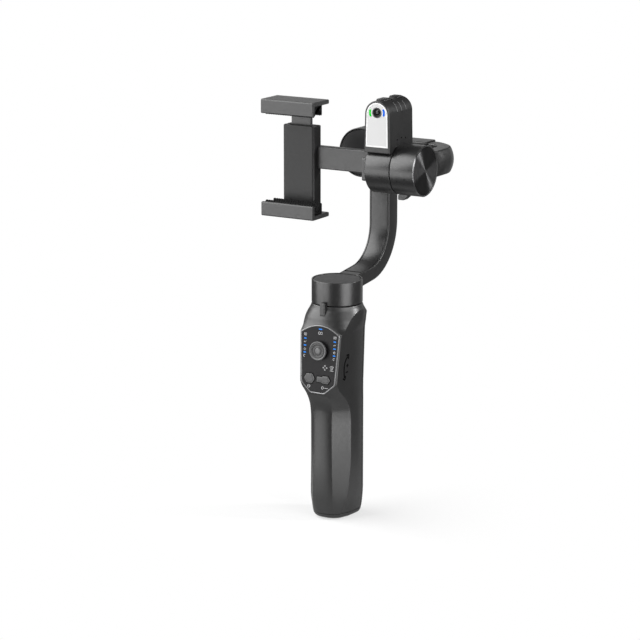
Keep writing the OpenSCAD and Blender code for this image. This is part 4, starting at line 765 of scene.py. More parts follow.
def stick_at(r, a, w):
    return on_panel(r * math.cos(a), STICK_V + r * math.sin(a), w)


cap_rows = [(0, 2.6), (2.35, 2.6), (2.4, 2.9), (2.6, 2.98), (2.85, 2.94), (3.0, 2.78), (3.2, 2.7), (4.1, 2.7),
            (4.3, 2.76), (4.5, 3.0), (4.75, 3.08), (5.0, 3.04), (5.2, 2.86), (5.5, 2.84), (5.8, 3.1), (6.2, 3.36),
            (6.5, 3.38), (6.75, 3.22), (6.88, 2.9), (6.88, 2.0), (6.75, 1.74), (6.45, 1.62), (2.3, 1.62), (2.0, 1.4),
            (2.0, -1.2), (0, -1.2)]
# The pale ring on the raised rim, in the keys' rim colour, is a painted highlight.
ring_rows = [(5.55, 2.9), (5.8, 3.14), (6.2, 3.4), (6.5, 3.42), (6.78, 3.24), (6.6, 3.1), (5.8, 2.8)]
middle_rows = [(0, 3.1), (1.5, 3.08), (1.95, 3.02), (2.15, 2.9), (2.15, 2.5), (0, 2.5)]
for name, rows, n, mat, node, sharp in (
        ("thumb_stick_skin", cap_rows, 96, stick_grey, ("stick_cap",), 45),
        ("thumb_stick_rim_highlight", ring_rows, 96, rim_highlight_paint, (), 60),
        ("thumb_stick_middle", middle_rows, 64, stick_pale, (), 40)):
    piece(name, lathe(rows, stick_at, n), "thumb_stick", mat, node, sharp, False)

# Status lights: seven small windows of tinted plastic, three beside each edge and a longer one under the crown. They
# are light guides, moulded in one part behind the panel and lit by lamps on the main board.
LED_U, LED_V, LED_STEP, LED_L, LED_T, CROWN_LED_V, CROWN_LED_SHARE = 12.3, 8.53, 5.08, 2.1, 0.85, 21.42, 1.3


def lamp_finish(name, colour, strength):
    """Tinted plastic that glows."""
    m = finish(name, tuple(c * 0.1 for c in colour), tuple(c * 0.12 for c in colour), 0.4, specular=0.1, depth=0.03,
               speck=0, wear=0)
    shader = m.node_tree.nodes["Principled BSDF"]
    shader.inputs["Emission Color"].default_value = (*colour, 1)
    shader.inputs["Emission Strength"].default_value = strength
    return m


led_blue = lamp_finish("status_light_blue", (0.03, 0.29, 1.0), 0.9)
bars = []
for u, v in [(s * LED_U, LED_V + k * LED_STEP) for s in (-1, 1) for k in (-1, 0, 1)] + [(0, CROWN_LED_V)]:
    bar = rounded(box_outline(u, v, LED_L * (CROWN_LED_SHARE if u == 0 else 1), LED_T), 0.35, 3)
    bars.append(stepped(bar, ((0, -1.0), (0, 0.14), (0.1, 0.22)), on_panel))
piece("status_lights", joined(bars), "handle", led_blue, ("light_guides",))

# Pictograms: plain generic strokes without words, in pale grey ink, printed on the panel beside the lights and under
# the keys.
mark_grey = finish("panel_mark_grey", grey(0.5), grey(0.6), 0.5, depth=0.03, speck=0, wear=0)


def bow_line(u, v, r, start=0.0, end=360.0, n=18):
    whole = end - start >= 360
    turns = (math.radians(start + (end - start) * k / n) for k in range(n + (not whole)))
    return [(u + r * math.cos(a), v + r * math.sin(a)) for a in turns]


marks = [(bow_line(-0.85, 18.6, 0.85), 0.32, True), (bow_line(0.85, 18.6, 0.85), 0.32, True)]
for s in (-1, 1):
    u = s * LED_U
    marks += [(box_outline(u, 16.6, 1.9, 1.5), 0.34, True), ([(u - 0.5, 16.6), (u + 0.5, 16.6)], 0.5, False)]
    marks += [([(u - 0.9, 10.6), (u - 0.2, 11.5), (u + 0.2, 10.8), (u + 0.9, 11.6)], 0.36, False)]
    marks += [([(u - 0.8, 5.7), (u, 6.5), (u + 0.8, 5.7)], 0.36, False), ([(u - 0.7, 5.2), (u + 0.7, 5.2)], 0.3, False)]
    marks += [(bow_line(u, 0.9, 0.8, 40, 290), 0.34, False)]
CROSS_U, CROSS_V = 5.2, -6.0
for du, dv in ((1, 0), (-1, 0), (0, 1), (0, -1)):
    u, v = CROSS_U + du * 1.9, CROSS_V + dv * 1.9
    marks += [([(CROSS_U + du * 0.6, CROSS_V + dv * 0.6), (u, v)], 0.32, False)]
    marks += [([(u - du * 0.6 - dv * 0.6, v - dv * 0.6 - du * 0.6), (u, v),
                (u - du * 0.6 + dv * 0.6, v - dv * 0.6 + du * 0.6)], 0.3, False)]
marks += [(bow_line(10.9, -6.0, 0.75), 0.36, True), (bow_line(10.9, -5.9, 1.6, 20, 160), 0.32, False)]
marks += [([(9.5, -7.6), (12.3, -7.6)], 0.36, False), (bow_line(-7.6, -20.7, 1.0, 120, 420), 0.32, False)]
marks += [([(-7.6, -20.6), (-7.6, -19.4)], 0.32, False), (bow_line(3.9, -20.8, 0.85), 0.34, True)]
marks += [([(5.7, -20.8), (8.4, -20.8)], 0.4, False)]
piece("panel_marks", joined([ribbon(p, w, lambda u, v, h: on_panel(u, v, 0.1 + h * 0.6), c) for p, w, c in marks]),
      "handle", mark_grey, (), 30, False)

# Pan motor: an aluminium shell, turned and painted satin grey, that spins on the handle's round neck. A plain disc
# is pressed into its top. The small lug at the front of the seam is moulded on the handle and shows the middle.
PAN_R, PAN_H, BELL_GAP, RIM_W, CAP_GAP, LUG_GAP = 18.5, 17.1, 0.4, 1.2, 0.28, 0.32
motor_paint = finish("motor_shell_paint", grey(0.009), grey(0.012), 0.33, specular=1.0, depth=0.08, size=2600,
                     speck=0.03)
cap_paint = finish("motor_cap_paint", grey(0.03), grey(0.035), 0.48, depth=0.1, size=2600, speck=0.03)
winding_copper = finish("winding_copper", (0.42, 0.16, 0.06), (0.5, 0.22, 0.08), 0.38, metal=0.9, depth=0.4, size=900)
bearing_steel = finish("bearing_steel", grey(0.48), grey(0.56), 0.24, metal=1.0, depth=0.04)
mount_alloy = finish("mount_alloy", grey(0.4), grey(0.48), 0.36, metal=1.0, depth=0.08)
for motor in ("pan", "roll", "tilt"):
    for part, mat in (("stator", winding_copper), ("magnets", bearing_steel), ("bearings", bearing_steel),
                      ("shaft", bearing_steel)):
        dress(f"{motor}_{part}", mat)
dress("pan_mount", mount_alloy)


def pan_at(r, a, z):
    return (r * math.cos(a), r * math.sin(a), HANDLE_H + z)


def bell_shape(r, length, at):
    """The shell of a motor's turning half: rounded rims and a step for its cap."""
    end = BELL_GAP + length
    rows = rounded([(r - 0.22, BELL_GAP + 0.2), (r, BELL_GAP + 0.38), (r, end - 0.3), (r - 0.3, end), (r - 0.95, end),
                    (r - RIM_W, end - 0.2), (r - RIM_W, end - 1.4), (r - 1.7, end - 1.6), (r - 1.7, BELL_GAP + 0.2)],
                   0.12, 3)
    return lathe(rows, at, 160)


def cap_shape(motor_r, end, at):
    """A motor's end cap with a softened edge, inside the rim of its shell."""
    r = motor_r - RIM_W - CAP_GAP
    return lathe([(0, end - 0.9), (r, end - 0.9), (r, end - 0.14), (r - 0.14, end - 0.03), (r - 0.45, end),
                  (r * 0.5, end + 0.02), (0, end + 0.02)], at, 160)


def upright(x, y, z):
    return (x, y, z)


piece("pan_bell_skin", bell_shape(PAN_R, PAN_H, pan_at), "pan_arm", motor_paint, ("pan_bell",), 35, False)
piece("pan_cap_skin", cap_shape(PAN_R, PAN_H, pan_at), "pan_arm", cap_paint, ("pan_cap",), 35, False)
lug_line = rounded([(-2.05, -21.5), (2.05, -21.5), (2.05, -16.9), (-2.05, -16.9)], [0.8, 0.8, 0, 0], 4)
lug_rows = ((0.7, 152.05), (0.3, 152.2), (0.05, 152.6), (0, 153.0), (0, 160.9), (0.06, 161.3), (0.22, 161.5),
            (0.5, 161.65))
lug = piece("pan_lug_skin", stepped(lug_line, lug_rows, upright), "handle", shell_satin,
            ("pan_lug",), 45)
cut(lug, [lathe([(0, 0.02), (PAN_R + LUG_GAP, 0.02), (PAN_R + LUG_GAP, 9), (0, 9)], pan_at)], 45)

# Riser arm: one cast aluminium arm, painted satin grey, that is screwed to the pan motor, bends upwards and carries
# the roll motor. Its inner face has a shallow pocket with a plastic inlay glued in over the wires.
ARM_HALF, ARM_EDGE, POCKET_RIM, POCKET_D, POCKET_LEAN, ARM_RISE = 8.45, 1.0, 1.3, 0.7, 0.1, math.radians(6.2)
INNER_Y, INNER_Z, INNER_R, OUTER_Y, OUTER_Z, OUTER_R = 32.9, 206.23, 28.0, 33.8, 208.36, 40.1
ARM_START_Y, ARM_END_Z, INLAY_GAP, INLAY_SUNK, POCKET_ENDS = 16.3, 250.5, 0.42, 0.1, 3
arm_paint = finish("arm_paint", grey(0.009), grey(0.012), 0.36, specular=0.9, depth=0.08, size=2600, speck=0.03,
                   wear=0.1)
inlay_satin = finish("arm_inlay_satin", grey(0.008), grey(0.011), 0.34, specular=0.85, depth=0.08, size=2300,
                     speck=0.03, wear=0.0)
turns = [-math.pi / 2 + ARM_RISE + (math.pi / 2 - ARM_RISE) * k / 36 for k in range(37)]
rays = [Vector((math.cos(a), math.sin(a))) for a in turns]
arcs = [(Vector((INNER_Y, INNER_Z)) + INNER_R * ray, Vector((OUTER_Y, OUTER_Z)) + OUTER_R * ray) for ray in rays]
start = [Vector((ARM_START_Y, p.y - (p.x - ARM_START_Y) * math.tan(ARM_RISE))) for p in arcs[0]]
end = (Vector((INNER_Y + INNER_R, ARM_END_Z)), Vector((OUTER_Y + OUTER_R, ARM_END_Z)))
sides = [(start[0].lerp(arcs[0][0], k / 8), start[1].lerp(arcs[0][1], k / 8)) for k in range(8)] + arcs
sides += [(arcs[-1][0].lerp(end[0], k / 16), arcs[-1][1].lerp(end[1], k / 16)) for k in range(1, 17)]
loops = []
for k, (i, o) in enumerate(sides):
    d, depth = (o - i).normalized(), (o - i).length
    pocket = POCKET_D if POCKET_ENDS <= k < len(sides) - POCKET_ENDS else 0.0
    section = rounded([(-ARM_HALF, depth), (-ARM_HALF, 0), (ARM_HALF, 0), (ARM_HALF, depth)], ARM_EDGE, 4)
    half, rim = len(section) // 2, ARM_HALF - POCKET_RIM
    inside = [(-rim, 0.0), (-rim + POCKET_LEAN, pocket), (rim - POCKET_LEAN, pocket), (rim, 0.0)]
    loops.append([(x, (i + d * t).x, (i + d * t).y) for x, t in section[:half] + inside + section[half:]])
piece("riser_arm_skin", loft(loops), "pan_arm", arm_paint, ("riser_arm",), 32, False)
loops, inlay = [], sides[POCKET_ENDS:len(sides) - POCKET_ENDS]
w = ARM_HALF - POCKET_RIM - INLAY_GAP
section = rounded([(-w, 0.75), (-w, INLAY_SUNK), (w, INLAY_SUNK), (w, 0.75)], [0, 0.06, 0.06, 0], 2)
for k, (i, o) in enumerate(inlay):
    d = (o - i).normalized()
    ahead = (inlay[min(k + 1, len(inlay) - 1)][0] - inlay[max(k - 1, 0)][0]).normalized()
    shift = ahead * (0.2 if k == 0 else -0.2 if k == len(inlay) - 1 else 0)
    loops.append([(x, (i + shift + d * t).x, (i + shift + d * t).y) for x, t in section])
piece("riser_inlay_skin", loft(loops), "pan_arm", inlay_satin, ("riser_inlay",), 32, False)

# Inlay groove shade: two thin flat black strips laid in the groove on either side of the inlay. They are painted
# shade, put there so that the groove shows as the dark lines beside it.
groove_shade_black = finish("inlay_groove_shade_black", grey(0.002), grey(0.003), 0.85, specular=0.04, depth=0, speck=0, wear=0)
near, far = w - 0.05, ARM_HALF - POCKET_RIM - 0.04
for name, side in (("inlay_groove_shade_left", -1), ("inlay_groove_shade_right", 1)):
    loops = []
    for i, o in inlay[1:-1]:
        d = (o - i).normalized()
        section = ((near, 0.74), (near, 0.16), (far, 0.03), (far, 0.74))
        loops.append([(side * x, (i + d * t).x, (i + d * t).y) for x, t in section])
    piece(name, loft(loops), "pan_arm", groove_shade_black, (), 32, False)

# Roll motor: the same kind of motor on its side at the arm's top. Its still half is screwed to the riser arm, and
# its turning half, towards the clamp, carries the roll arm.
AXIS_Z, MOTOR_R, ROLL_SEAM_Y, ROLL_H, CUP_H, CAP_SUNK = 263.1, 18.0, 52.4, 19.0, 21.5, 0.4


def roll_at(r, a, z):
    return (r * math.cos(a), ROLL_SEAM_Y - z, AXIS_Z + r * math.sin(a))


def behind_roll(r, a, z):
    return roll_at(r, a, -z)


def cup_shape(r, length, at):
    """The shell of a motor's still half, open at the seam."""
    rows = rounded([(8.1, -1.0), (r - 1.1, -1.0), (r - 0.6, -0.12), (r - 0.15, -0.12), (r, -0.32), (r, -length + 0.45),
                    (r - 0.45, -length), (r - 1.0, -length), (r - RIM_W, -length + 0.2), (r - RIM_W, -length + 1.6),
                    (8.1, -length + 1.8)], 0.1, 2)
    return lathe(rows, at, 160)


for name, shape, body, mat, node in (
        ("roll_bell_skin", bell_shape(MOTOR_R, ROLL_H, roll_at), "roll_frame", motor_paint, "roll_bell"),
        ("roll_cap_skin", cap_shape(MOTOR_R, ROLL_H, roll_at), "roll_frame", cap_paint, "roll_cap"),
        ("roll_housing_skin", cup_shape(MOTOR_R, CUP_H, roll_at), "pan_arm", motor_paint, "roll_housing"),
        ("roll_back_cap_skin", cap_shape(MOTOR_R, CUP_H - CAP_SUNK, behind_roll), "pan_arm", cap_paint,
         "roll_back_cap")):
    piece(name, shape, body, mat, (node,), 35, False)

# Roll arm: a flat aluminium bar, cast and painted like the riser, that bends round one corner to the tilt motor,
# with its outer side crowned round the bend. It is clamped in a rounded sleeve on the roll motor.
BAR_MID_Z, BAR_Y, BAR_HALF, BAR_T, BEND_R, BEND_CROWN, BEND_THINNER = 265.0, 39.8, 9.25, 11.0, 23.5, 2.6, 1.3
BAR_START, BAR_REACH, BAR_END_Y, SLEEVE_START, SLEEVE_END = 22.0, 77.8, -2.0, 12.0, 54.0
SLEEVE_DEPTH, SLEEVE_HALF, SLOT_GAP = 7.8, 10.25, 0.15
bend = Vector((BAR_REACH - BEND_R, BAR_Y + BAR_T / 2 - BEND_R))
plan = [[Vector((BAR_START + (bend.x - BAR_START) * k / 6, y)) for y in (bend.y + BEND_R - BAR_T, bend.y + BEND_R)]
        for k in range(7)]
for k in range(1, 29):
    ray = Vector((math.cos(math.pi / 2 * (1 - k / 28)), math.sin(math.pi / 2 * (1 - k / 28))))
    plan.append((bend + ray * (BEND_R - BAR_T), bend + ray * BEND_R))
plan += [[Vector((x, bend.y + (BAR_END_Y - bend.y) * k / 8)) for x in (BAR_REACH - BAR_T, BAR_REACH)]
         for k in range(1, 9)]
loops = []
for i, o in plan:
    d = (o - i).normalized()
    bent = smooth(0.1, 0.6, d.x)
    crown = BEND_CROWN * bent * smooth(5.0, 14.0, o.y)
    back = [(BAR_T - BEND_THINNER * bent + crown * (1 - s * s), BAR_HALF * s) for s in (-1 + k / 6 for k in range(13))]
    section = rounded([(0, -BAR_HALF)] + back + [(0, BAR_HALF)], [1.0, 1.3] + [0] * 11 + [1.3, 1.0], 4)
    loops.append([((i + d * s).x, (i + d * s).y, BAR_MID_Z + z) for s, z in section])
piece("roll_arm_skin", loft(loops), "roll_frame", arm_paint, ("roll_arm",), 32, False)
outer = rounded(box_outline(BAR_Y, BAR_MID_Z, SLEEVE_DEPTH * 2, SLEEVE_HALF * 2), 1.2, 4)
inner = rounded(box_outline(BAR_Y, BAR_MID_Z, BAR_T + SLOT_GAP * 2, (BAR_HALF + SLOT_GAP) * 2), 0.9, 4)
loops = [[(x, y, z) for y, z in drawn_in(outline, d)] for outline, x, d in (
    (outer, SLEEVE_START, 0.0), (outer, 53.1, 0.0), (outer, 53.7, 0.2), (outer, SLEEVE_END, 0.6),
    (inner, SLEEVE_END, -0.25), (inner, 53.8, 0.0), (inner, SLEEVE_START, 0.0))]
piece("arm_sleeve_skin", loft(loops, ring=True), "roll_frame", arm_paint, ("arm_sleeve",), 32)

# Tilt motor: its painted still half ends in a spun aluminium disc inside a bright turned chamfer, and its turning
# half carries the clamp and the tracker. A small cast lug under the seam marks the middle.
TILT_Y, TILT_SEAM_X, TILT_H, TILT_CUP, DISC_BACK = -12.0, 59.3, 19.7, 18.8, 17.6
rim_bright = finish("turned_chamfer_bright", grey(0.3), grey(0.34), 0.2, metal=1.0, depth=0.0, speck=0, wear=0)


def tilt_at(r, a, z):
    return (TILT_SEAM_X - z, TILT_Y + r * math.cos(a), AXIS_Z + r * math.sin(a))


tilt_paint = finish("tilt_shell_paint", grey(0.009), grey(0.012), 0.31, specular=1.0, depth=0.06, size=2800, speck=0.03)
for name, shape, body, mat, node in (
        ("tilt_bell_skin", bell_shape(MOTOR_R, TILT_H, tilt_at), "tilt_head", tilt_paint, ("tilt_bell",)),
        ("tilt_inner_cap", cap_shape(MOTOR_R, TILT_H, tilt_at), "tilt_head", cap_paint, ()),
        ("tilt_housing_skin", cup_shape(MOTOR_R, TILT_CUP, tilt_at), "roll_frame", tilt_paint, ("tilt_housing",))):
    piece(name, shape, body, mat, node, 35, False)
for name, body, side, at in (("tilt_far_chamfer", "roll_frame", 1, -TILT_CUP),
                             ("tilt_near_chamfer", "tilt_head", -1, BELL_GAP + TILT_H)):
    rows = [(MOTOR_R - 0.42, at + side * 0.1), (MOTOR_R + 0.02, at + side * 0.6), (MOTOR_R + 0.05, at + side * 0.46),
            (MOTOR_R - 0.34, at - side * 0.05), (MOTOR_R - 0.8, at - side * 0.07), (MOTOR_R - 0.85, at + side * 0.1)]
    piece(name, lathe(rows, tilt_at, 192), body, rim_bright, (), 40, False)
# The disc's fine turned lines run round its middle, so its highlight stretches into a wedge.
disc_spun = finish("tilt_disc_spun", grey(0.08), grey(0.09), 0.36, metal=1.0, depth=0.02, speck=0, wear=0)
t, link = disc_spun.node_tree.nodes, disc_spun.node_tree.links.new
shader = t["Principled BSDF"]
shader.inputs["Anisotropic"].default_value = 0.99
where, centred, unit, reach = (t.new(k) for k in (
    "ShaderNodeTexCoord", "ShaderNodeVectorMath", "ShaderNodeVectorMath", "ShaderNodeVectorMath"))
centred.operation, unit.operation, reach.operation = "SUBTRACT", "NORMALIZE", "LENGTH"
centred.inputs[1].default_value = ((TILT_SEAM_X + TILT_CUP) * MM, TILT_Y * MM, AXIS_Z * MM)
link(where.outputs["Object"], centred.inputs[0])
link(centred.outputs[0], unit.inputs[0])
link(unit.outputs[0], shader.inputs["Tangent"])
link(centred.outputs[0], reach.inputs[0])
lines = t.new("ShaderNodeTexNoise")
lines.noise_dimensions = "1D"
lines.inputs["Scale"].default_value, lines.inputs["Detail"].default_value = 9000.0, 4.0
link(reach.outputs["Value"], lines.inputs["W"])
spun = t.new("ShaderNodeBump")
spun.inputs["Strength"].default_value, spun.inputs["Distance"].default_value = 0.03, 0.00003
link(lines.outputs["Fac"], spun.inputs["Height"])
link(spun.outputs["Normal"], shader.inputs["Normal"])
rows = [(r, -TILT_CUP + 0.1) for r in (0, 3, 6, 9, 12, 15, 16.2)]
rows += [(16.6, -TILT_CUP + 0.24), (16.72, -TILT_CUP + 0.5), (16.72, -DISC_BACK), (0, -DISC_BACK)]
piece("tilt_disc_skin", lathe(rows, tilt_at, 192), "roll_frame", disc_spun, ("tilt_disc",), 40, False)
low = AXIS_Z - MOTOR_R - 3.7
lug_side = rounded([(57.9, low), (62.4, low), (65.5, low + 2.72), (65.5, low + 6.0), (57.9, low + 6.0)],
                   [0.7, 0.7, 0.5, 0, 0], 3)
lug_rows = [(d, TILT_Y + y) for d, y in ((0.4, -3), (0.12, -2.85), (0, -2.5), (0, 2.5), (0.12, 2.85), (0.4, 3))]
lug = piece("tilt_lug_skin", stepped(lug_side, lug_rows, facing), "roll_frame", arm_paint, ("tilt_lug",),
            45)
cut(lug, [lathe([(0, 0.35), (MOTOR_R + LUG_GAP, 0.35), (MOTOR_R + LUG_GAP, 22), (0, 22)], tilt_at)], 45)

# Clamp bracket: a moulded arm of glass-filled plastic, fastened to the end of the tilt motor's shaft with one steel
# screw. It carries the clamp's spine at its other end.
PHONE_FRONT, JAW_X, BRACKET_HALF, BRACKET_FRONT, BRACKET_X = TILT_Y - 4.5, -29.15, 8.2, TILT_Y - 16.2, 36.2
FRONT_Y = PHONE_FRONT - 5.2
SPINE_BACK, SPINE_HALF = FRONT_Y + 26.8, 13.0
jaw_satin = finish("clamp_jaw_satin", grey(0.022), grey(0.027), 0.4, specular=0.95, depth=0.1, size=2400, speck=0.04)


def sideways(y, z, x):
    return (x, y, z)


def bracket_at(r, a, z):
    return (BRACKET_X - z, TILT_Y + r * math.cos(a), AXIS_Z + r * math.sin(a))


plate_side = rounded([(BRACKET_FRONT, AXIS_Z - BRACKET_HALF), (SPINE_BACK, AXIS_Z - BRACKET_HALF),
                      (SPINE_BACK, AXIS_Z + BRACKET_HALF), (BRACKET_FRONT, AXIS_Z + BRACKET_HALF)], 1.6, 5)
root = stepped(plate_side, ((0.4, BRACKET_X), (0.15, 36.3), (0, 36.6), (0, 38.9), (0.2, 39.16)), sideways)
bar_side = rounded(box_outline(SPINE_BACK - 3, AXIS_Z, 6, BRACKET_HALF * 2), 1.0, 4)
bar = loft([[(x, y, z) for y, z in bar_side] for x in (JAW_X + SPINE_HALF + 0.03, -10, 5, 20, 37.5)])
piece("clamp_bracket_skin", joined([root, bar]), "tilt_head", jaw_satin, ("clamp_bracket",), 30)
shaft_screw = lathe([(0, 0.9), (1.0, 0.9), (1.02, 0.4), (1.3, 0.4), (1.34, 0.92), (3.0, 0.82), (3.4, 0.55), (3.5, 0.2),
                     (3.5, -0.6), (0, -0.6)], bracket_at, 48)
piece("bracket_screw", shaft_screw, "tilt_head", screw_steel, (), 40, False)

# Clamp spine: a hollow moulded post of black plastic, with a guide for the sliding jaw's tongue, a window in its
# back and a bore on each side for a coil spring.
PHONE_HALF, JAW_DEEP, SPINE_FRONT, SPINE_HIGH = 35.3, 7.0, PHONE_FRONT + 10.7, 285.8
LOW_Z = AXIS_Z - PHONE_HALF - JAW_DEEP
SPINE_LOW, TONGUE_FRONT, TONGUE_BACK, TONGUE_HALF = LOW_Z + 3.23, SPINE_FRONT + 1.6, FRONT_Y + 22.8, 8.06
SPRING_SIDE, SPRING_BORE, GUIDE_GAP, OPEN_TOP = 11.06, 1.9, 0.2, 320
spine_satin = finish("clamp_spine_satin", grey(0.01), grey(0.013), 0.42, depth=0.12, size=2200, speck=0.04)
spring_y = (SPINE_FRONT + SPINE_BACK) / 2
post = rounded([(JAW_X - SPINE_HALF, SPINE_FRONT), (JAW_X + SPINE_HALF, SPINE_FRONT), (JAW_X + SPINE_HALF, SPINE_BACK),
                (JAW_X - SPINE_HALF, SPINE_BACK)], 2.0, 5)
post_rows = ((0.5, SPINE_LOW), (0.15, SPINE_LOW + 0.15), (0, SPINE_LOW + 0.5), (0, SPINE_HIGH - 0.7),
             (0.2, SPINE_HIGH - 0.2), (0.7, SPINE_HIGH))
spine = piece("clamp_spine_skin", stepped(post, post_rows, upright), "tilt_head", spine_satin,
              ("clamp_spine",), 30)
guide = box_outline(JAW_X, (TONGUE_FRONT + TONGUE_BACK) / 2, (TONGUE_HALF + GUIDE_GAP) * 2,
                    FRONT_Y + 23.2 - TONGUE_FRONT)
window = rounded(box_outline(JAW_X, 257.5, 6, 43), 2.9, 6)
bores = [round_outline(JAW_X + s * SPRING_SIDE, spring_y, SPRING_BORE, 32) for s in (-1, 1)]
cut(spine, [prism(guide, LOW_Z + 6.2, OPEN_TOP, upright)], 35)
cut(spine, [prism(bore, LOW_Z + 7.2, OPEN_TOP, upright) for bore in bores], 35)
cut(spine, [prism(window, FRONT_Y + 24.0, SPINE_BACK + 2, facing)], 35)

# Clamp springs: a pair of coil springs that pull the jaws together, wound from half millimetre steel wire. Each is
# hooked in at the foot of its bore.
SPRING_COILS, SPRING_R, WIRE_R, SPRING_FOOT = 26.0, 1.3, 0.26, LOW_Z + 7.6
spring_steel = finish("spring_wire_steel", grey(0.45), grey(0.54), 0.26, metal=1.0, depth=0.04)
spring_pitch = (SPINE_HIGH - LOW_Z - 8.4) / SPRING_COILS
coil = swept_spiral("coil_springs", SPRING_COILS, spring_pitch, SPRING_R, WIRE_R, (18, 8), spring_steel)
grown("clamp_spring_coils", coil, [(JAW_X + s * SPRING_SIDE, spring_y, SPRING_FOOT) for s in (-1, 1)], "tilt_head",
      ("clamp_springs",), 60)

# Jaws: two equal L-shaped mouldings of satin grey plastic with a lip in front. The lower one is fixed to the spine
# by its foot, and the upper one hangs on a flat tongue that slides in the spine.
JAW_W = 43.5
jaw_side = rounded([(0, 0), (22.8, 0), (22.8, 3.2), (3.6, 3.2), (2.8, 4.0), (2.8, 10.3), (0, 10.3)],
                   [1.2, 1.1, 1.1, 0.6, 0.5, 0.8, 1.0], 5)


def lower(z):
    return LOW_Z + z


def upper(z):
    return 2 * AXIS_Z - LOW_Z - z


def across_jaw(outline, rows, length, flip):
    """A skin over insets of a jaw's or pad's side outline, with length centred on the clamp; flip places heights."""
    return stepped(outline, rows, lambda y, z, x: (JAW_X - length / 2 + x, FRONT_Y + y, flip(z)))


tongue_line = rounded(box_outline(JAW_X, TONGUE_BACK - 1.57, TONGUE_HALF * 2, 3.1), 0.5, 3)
tongue = prism(tongue_line, LOW_Z + 19.2, upper(2.0), upright)
jaw_rows = ((0.5, 0.0), (0.22, 0.12), (0.0, 0.5), (0.0, JAW_W - 0.5), (0.22, JAW_W - 0.12), (0.5, JAW_W))
for node, flip, body, extra in (("lower_jaw", lower, "tilt_head", []), ("upper_jaw", upper, "jaw_slide", [tongue])):
    piece(f"{node}_skin", joined([across_jaw(jaw_side, jaw_rows, JAW_W, flip)] + extra), body,
          jaw_satin, (node,), 30)

# Jaw pads: moulded black rubber, ribbed across, with a V groove that takes phones of any thickness. They are glued
# into the jaws.
PAD_L, PAD_RIBS, PAD_END = 40.3, 20, 0.4
pad_rubber = finish("jaw_pad_rubber", grey(0.004), grey(0.007), 0.7, specular=0.12, depth=0.3, size=1500, speck=0.02)
pad_side = rounded([(2.85, 3.25), (15.6, 3.25), (15.6, 10.3), (14.4, 11.1), (13.4, 8.6), (11.2, 6.7), (9.2, 4.6),
                    (7.2, 6.7), (4.9, 8.6), (4.5, 11.6), (2.85, 10.5)],
                   [0.3, 0.3, 0.7, 0.7, 0.5, 0.4, 0.6, 0.4, 0.5, 0.8, 0.4], 3)
step = (PAD_L - PAD_END * 2) / PAD_RIBS
pad_rows = [(0.35, 0.0), (0.05, 0.3)]
for k in range(PAD_RIBS):
    at = PAD_END + (PAD_L - PAD_END * 2) * k / PAD_RIBS
    pad_rows += [(0.02, at + step * 0.1), (0.0, at + step * 0.6), (0.2, at + step * 0.7), (0.2, at + step * 0.95)]
pad_rows += [(0.05, PAD_L - 0.3), (0.35, PAD_L)]
for node, flip, body in (("lower_pad", lower, "tilt_head"), ("upper_pad", upper, "jaw_slide")):
    piece(f"{node}_skin", across_jaw(pad_side, pad_rows, PAD_L, flip), body, pad_rubber, (node,), 28,
          False)

# Tracker: a small camera module in an arch-shaped plastic shell that saddles the tilt motor's turning half and snaps
# on. Three short grooves cross its right shoulder, each with a pale strip in it that is painted highlight for the light
# its edge catches, three fine holes lie low on that side, and its top has two seats for keys.
TX, CROWN_R, CROWN_Z, TRACK_FRONT, TRACK_BACK = 48.65, 9.7, 302.4, TILT_Y - 17.0, TILT_Y + 16.7
FOOT_Z, FOOT_HALF, FACE_LOW, FACE_MARGIN = 275.6, 10.25, 279.6, 1.4
BUTTON_Y, SWITCH_Y, BUTTON_L, SWITCH_L, SWITCH_TRAVEL = TILT_Y + 9.5, TILT_Y - 7.5, 8.0, 10.0, 2
GROOVE_Y, GROOVE_STEP, GROOVE_W, HOLE_STEP, SIDE_HOLE_R = TILT_Y - 5.3, 6.2, 0.8, 5.89, 0.62
SEAT_W, SEAT_Z = 7.4, AXIS_Z + 47.6
tracker_satin = finish("tracker_shell_satin", grey(0.007), grey(0.01), 0.38, specular=0.75, depth=0.1, size=2400,
                       speck=0.03)
dress("tracker_board", board_green)


def crown_arc(r, angles):
    return [(TX + r * math.cos(a), CROWN_Z + r * math.sin(a)) for a in angles]


arch_line = [(TX - FOOT_HALF, FOOT_Z), (TX + FOOT_HALF, FOOT_Z)]
arch_line += crown_arc(CROWN_R, [math.pi * k / 40 for k in range(41)])
rows = ((0.75, TRACK_FRONT), (0.4, TRACK_FRONT + 0.12), (0.12, TRACK_FRONT + 0.4), (0, TRACK_FRONT + 0.8),
        (0, TRACK_BACK - 0.8), (0.12, TRACK_BACK - 0.4), (0.4, TRACK_BACK - 0.12), (0.75, TRACK_BACK))
tracker = piece("tracker_shell_skin", stepped(arch_line, rows, facing), "tilt_head", tracker_satin,
                ("tracker_shell",), 30)
cut(tracker, [lathe([(0, -9), (MOTOR_R + 0.06, -9), (MOTOR_R + 0.06, 22), (0, 22)], tilt_at, 192)], 35)
face_hole = [(x, max(z, FACE_LOW - 0.05)) for x, z in drawn_in(arch_line, FACE_MARGIN - 0.05)]
cut(tracker, [prism(face_hole, TRACK_FRONT - 1, TRACK_FRONT + 1.1, facing)], 35)
shoulder = [math.radians(a) for a in range(4, 60, 4)]
groove = crown_arc(CROWN_R + 1, shoulder) + crown_arc(CROWN_R - 0.55, reversed(shoulder))
grooves = [GROOVE_Y + GROOVE_STEP * k for k in range(3)]
cut(tracker, [prism(groove, y, y + GROOVE_W, facing) for y in grooves], 35)
# Pale strips laid in the grooves: painted highlight standing for the light the groove edges catch.
groove_highlight_paint = finish("tracker_groove_painted_highlight", grey(0.16), grey(0.2), 0.4, depth=0.03, size=3000)
highlight_bed = crown_arc(CROWN_R - 0.05, shoulder[1:-1]) + crown_arc(CROWN_R - 0.5, reversed(shoulder[1:-1]))
piece("tracker_groove_highlights", joined([prism(highlight_bed, y + 0.3, y + 0.78, facing) for y in grooves]), "tilt_head",
      groove_highlight_paint, (), 30)
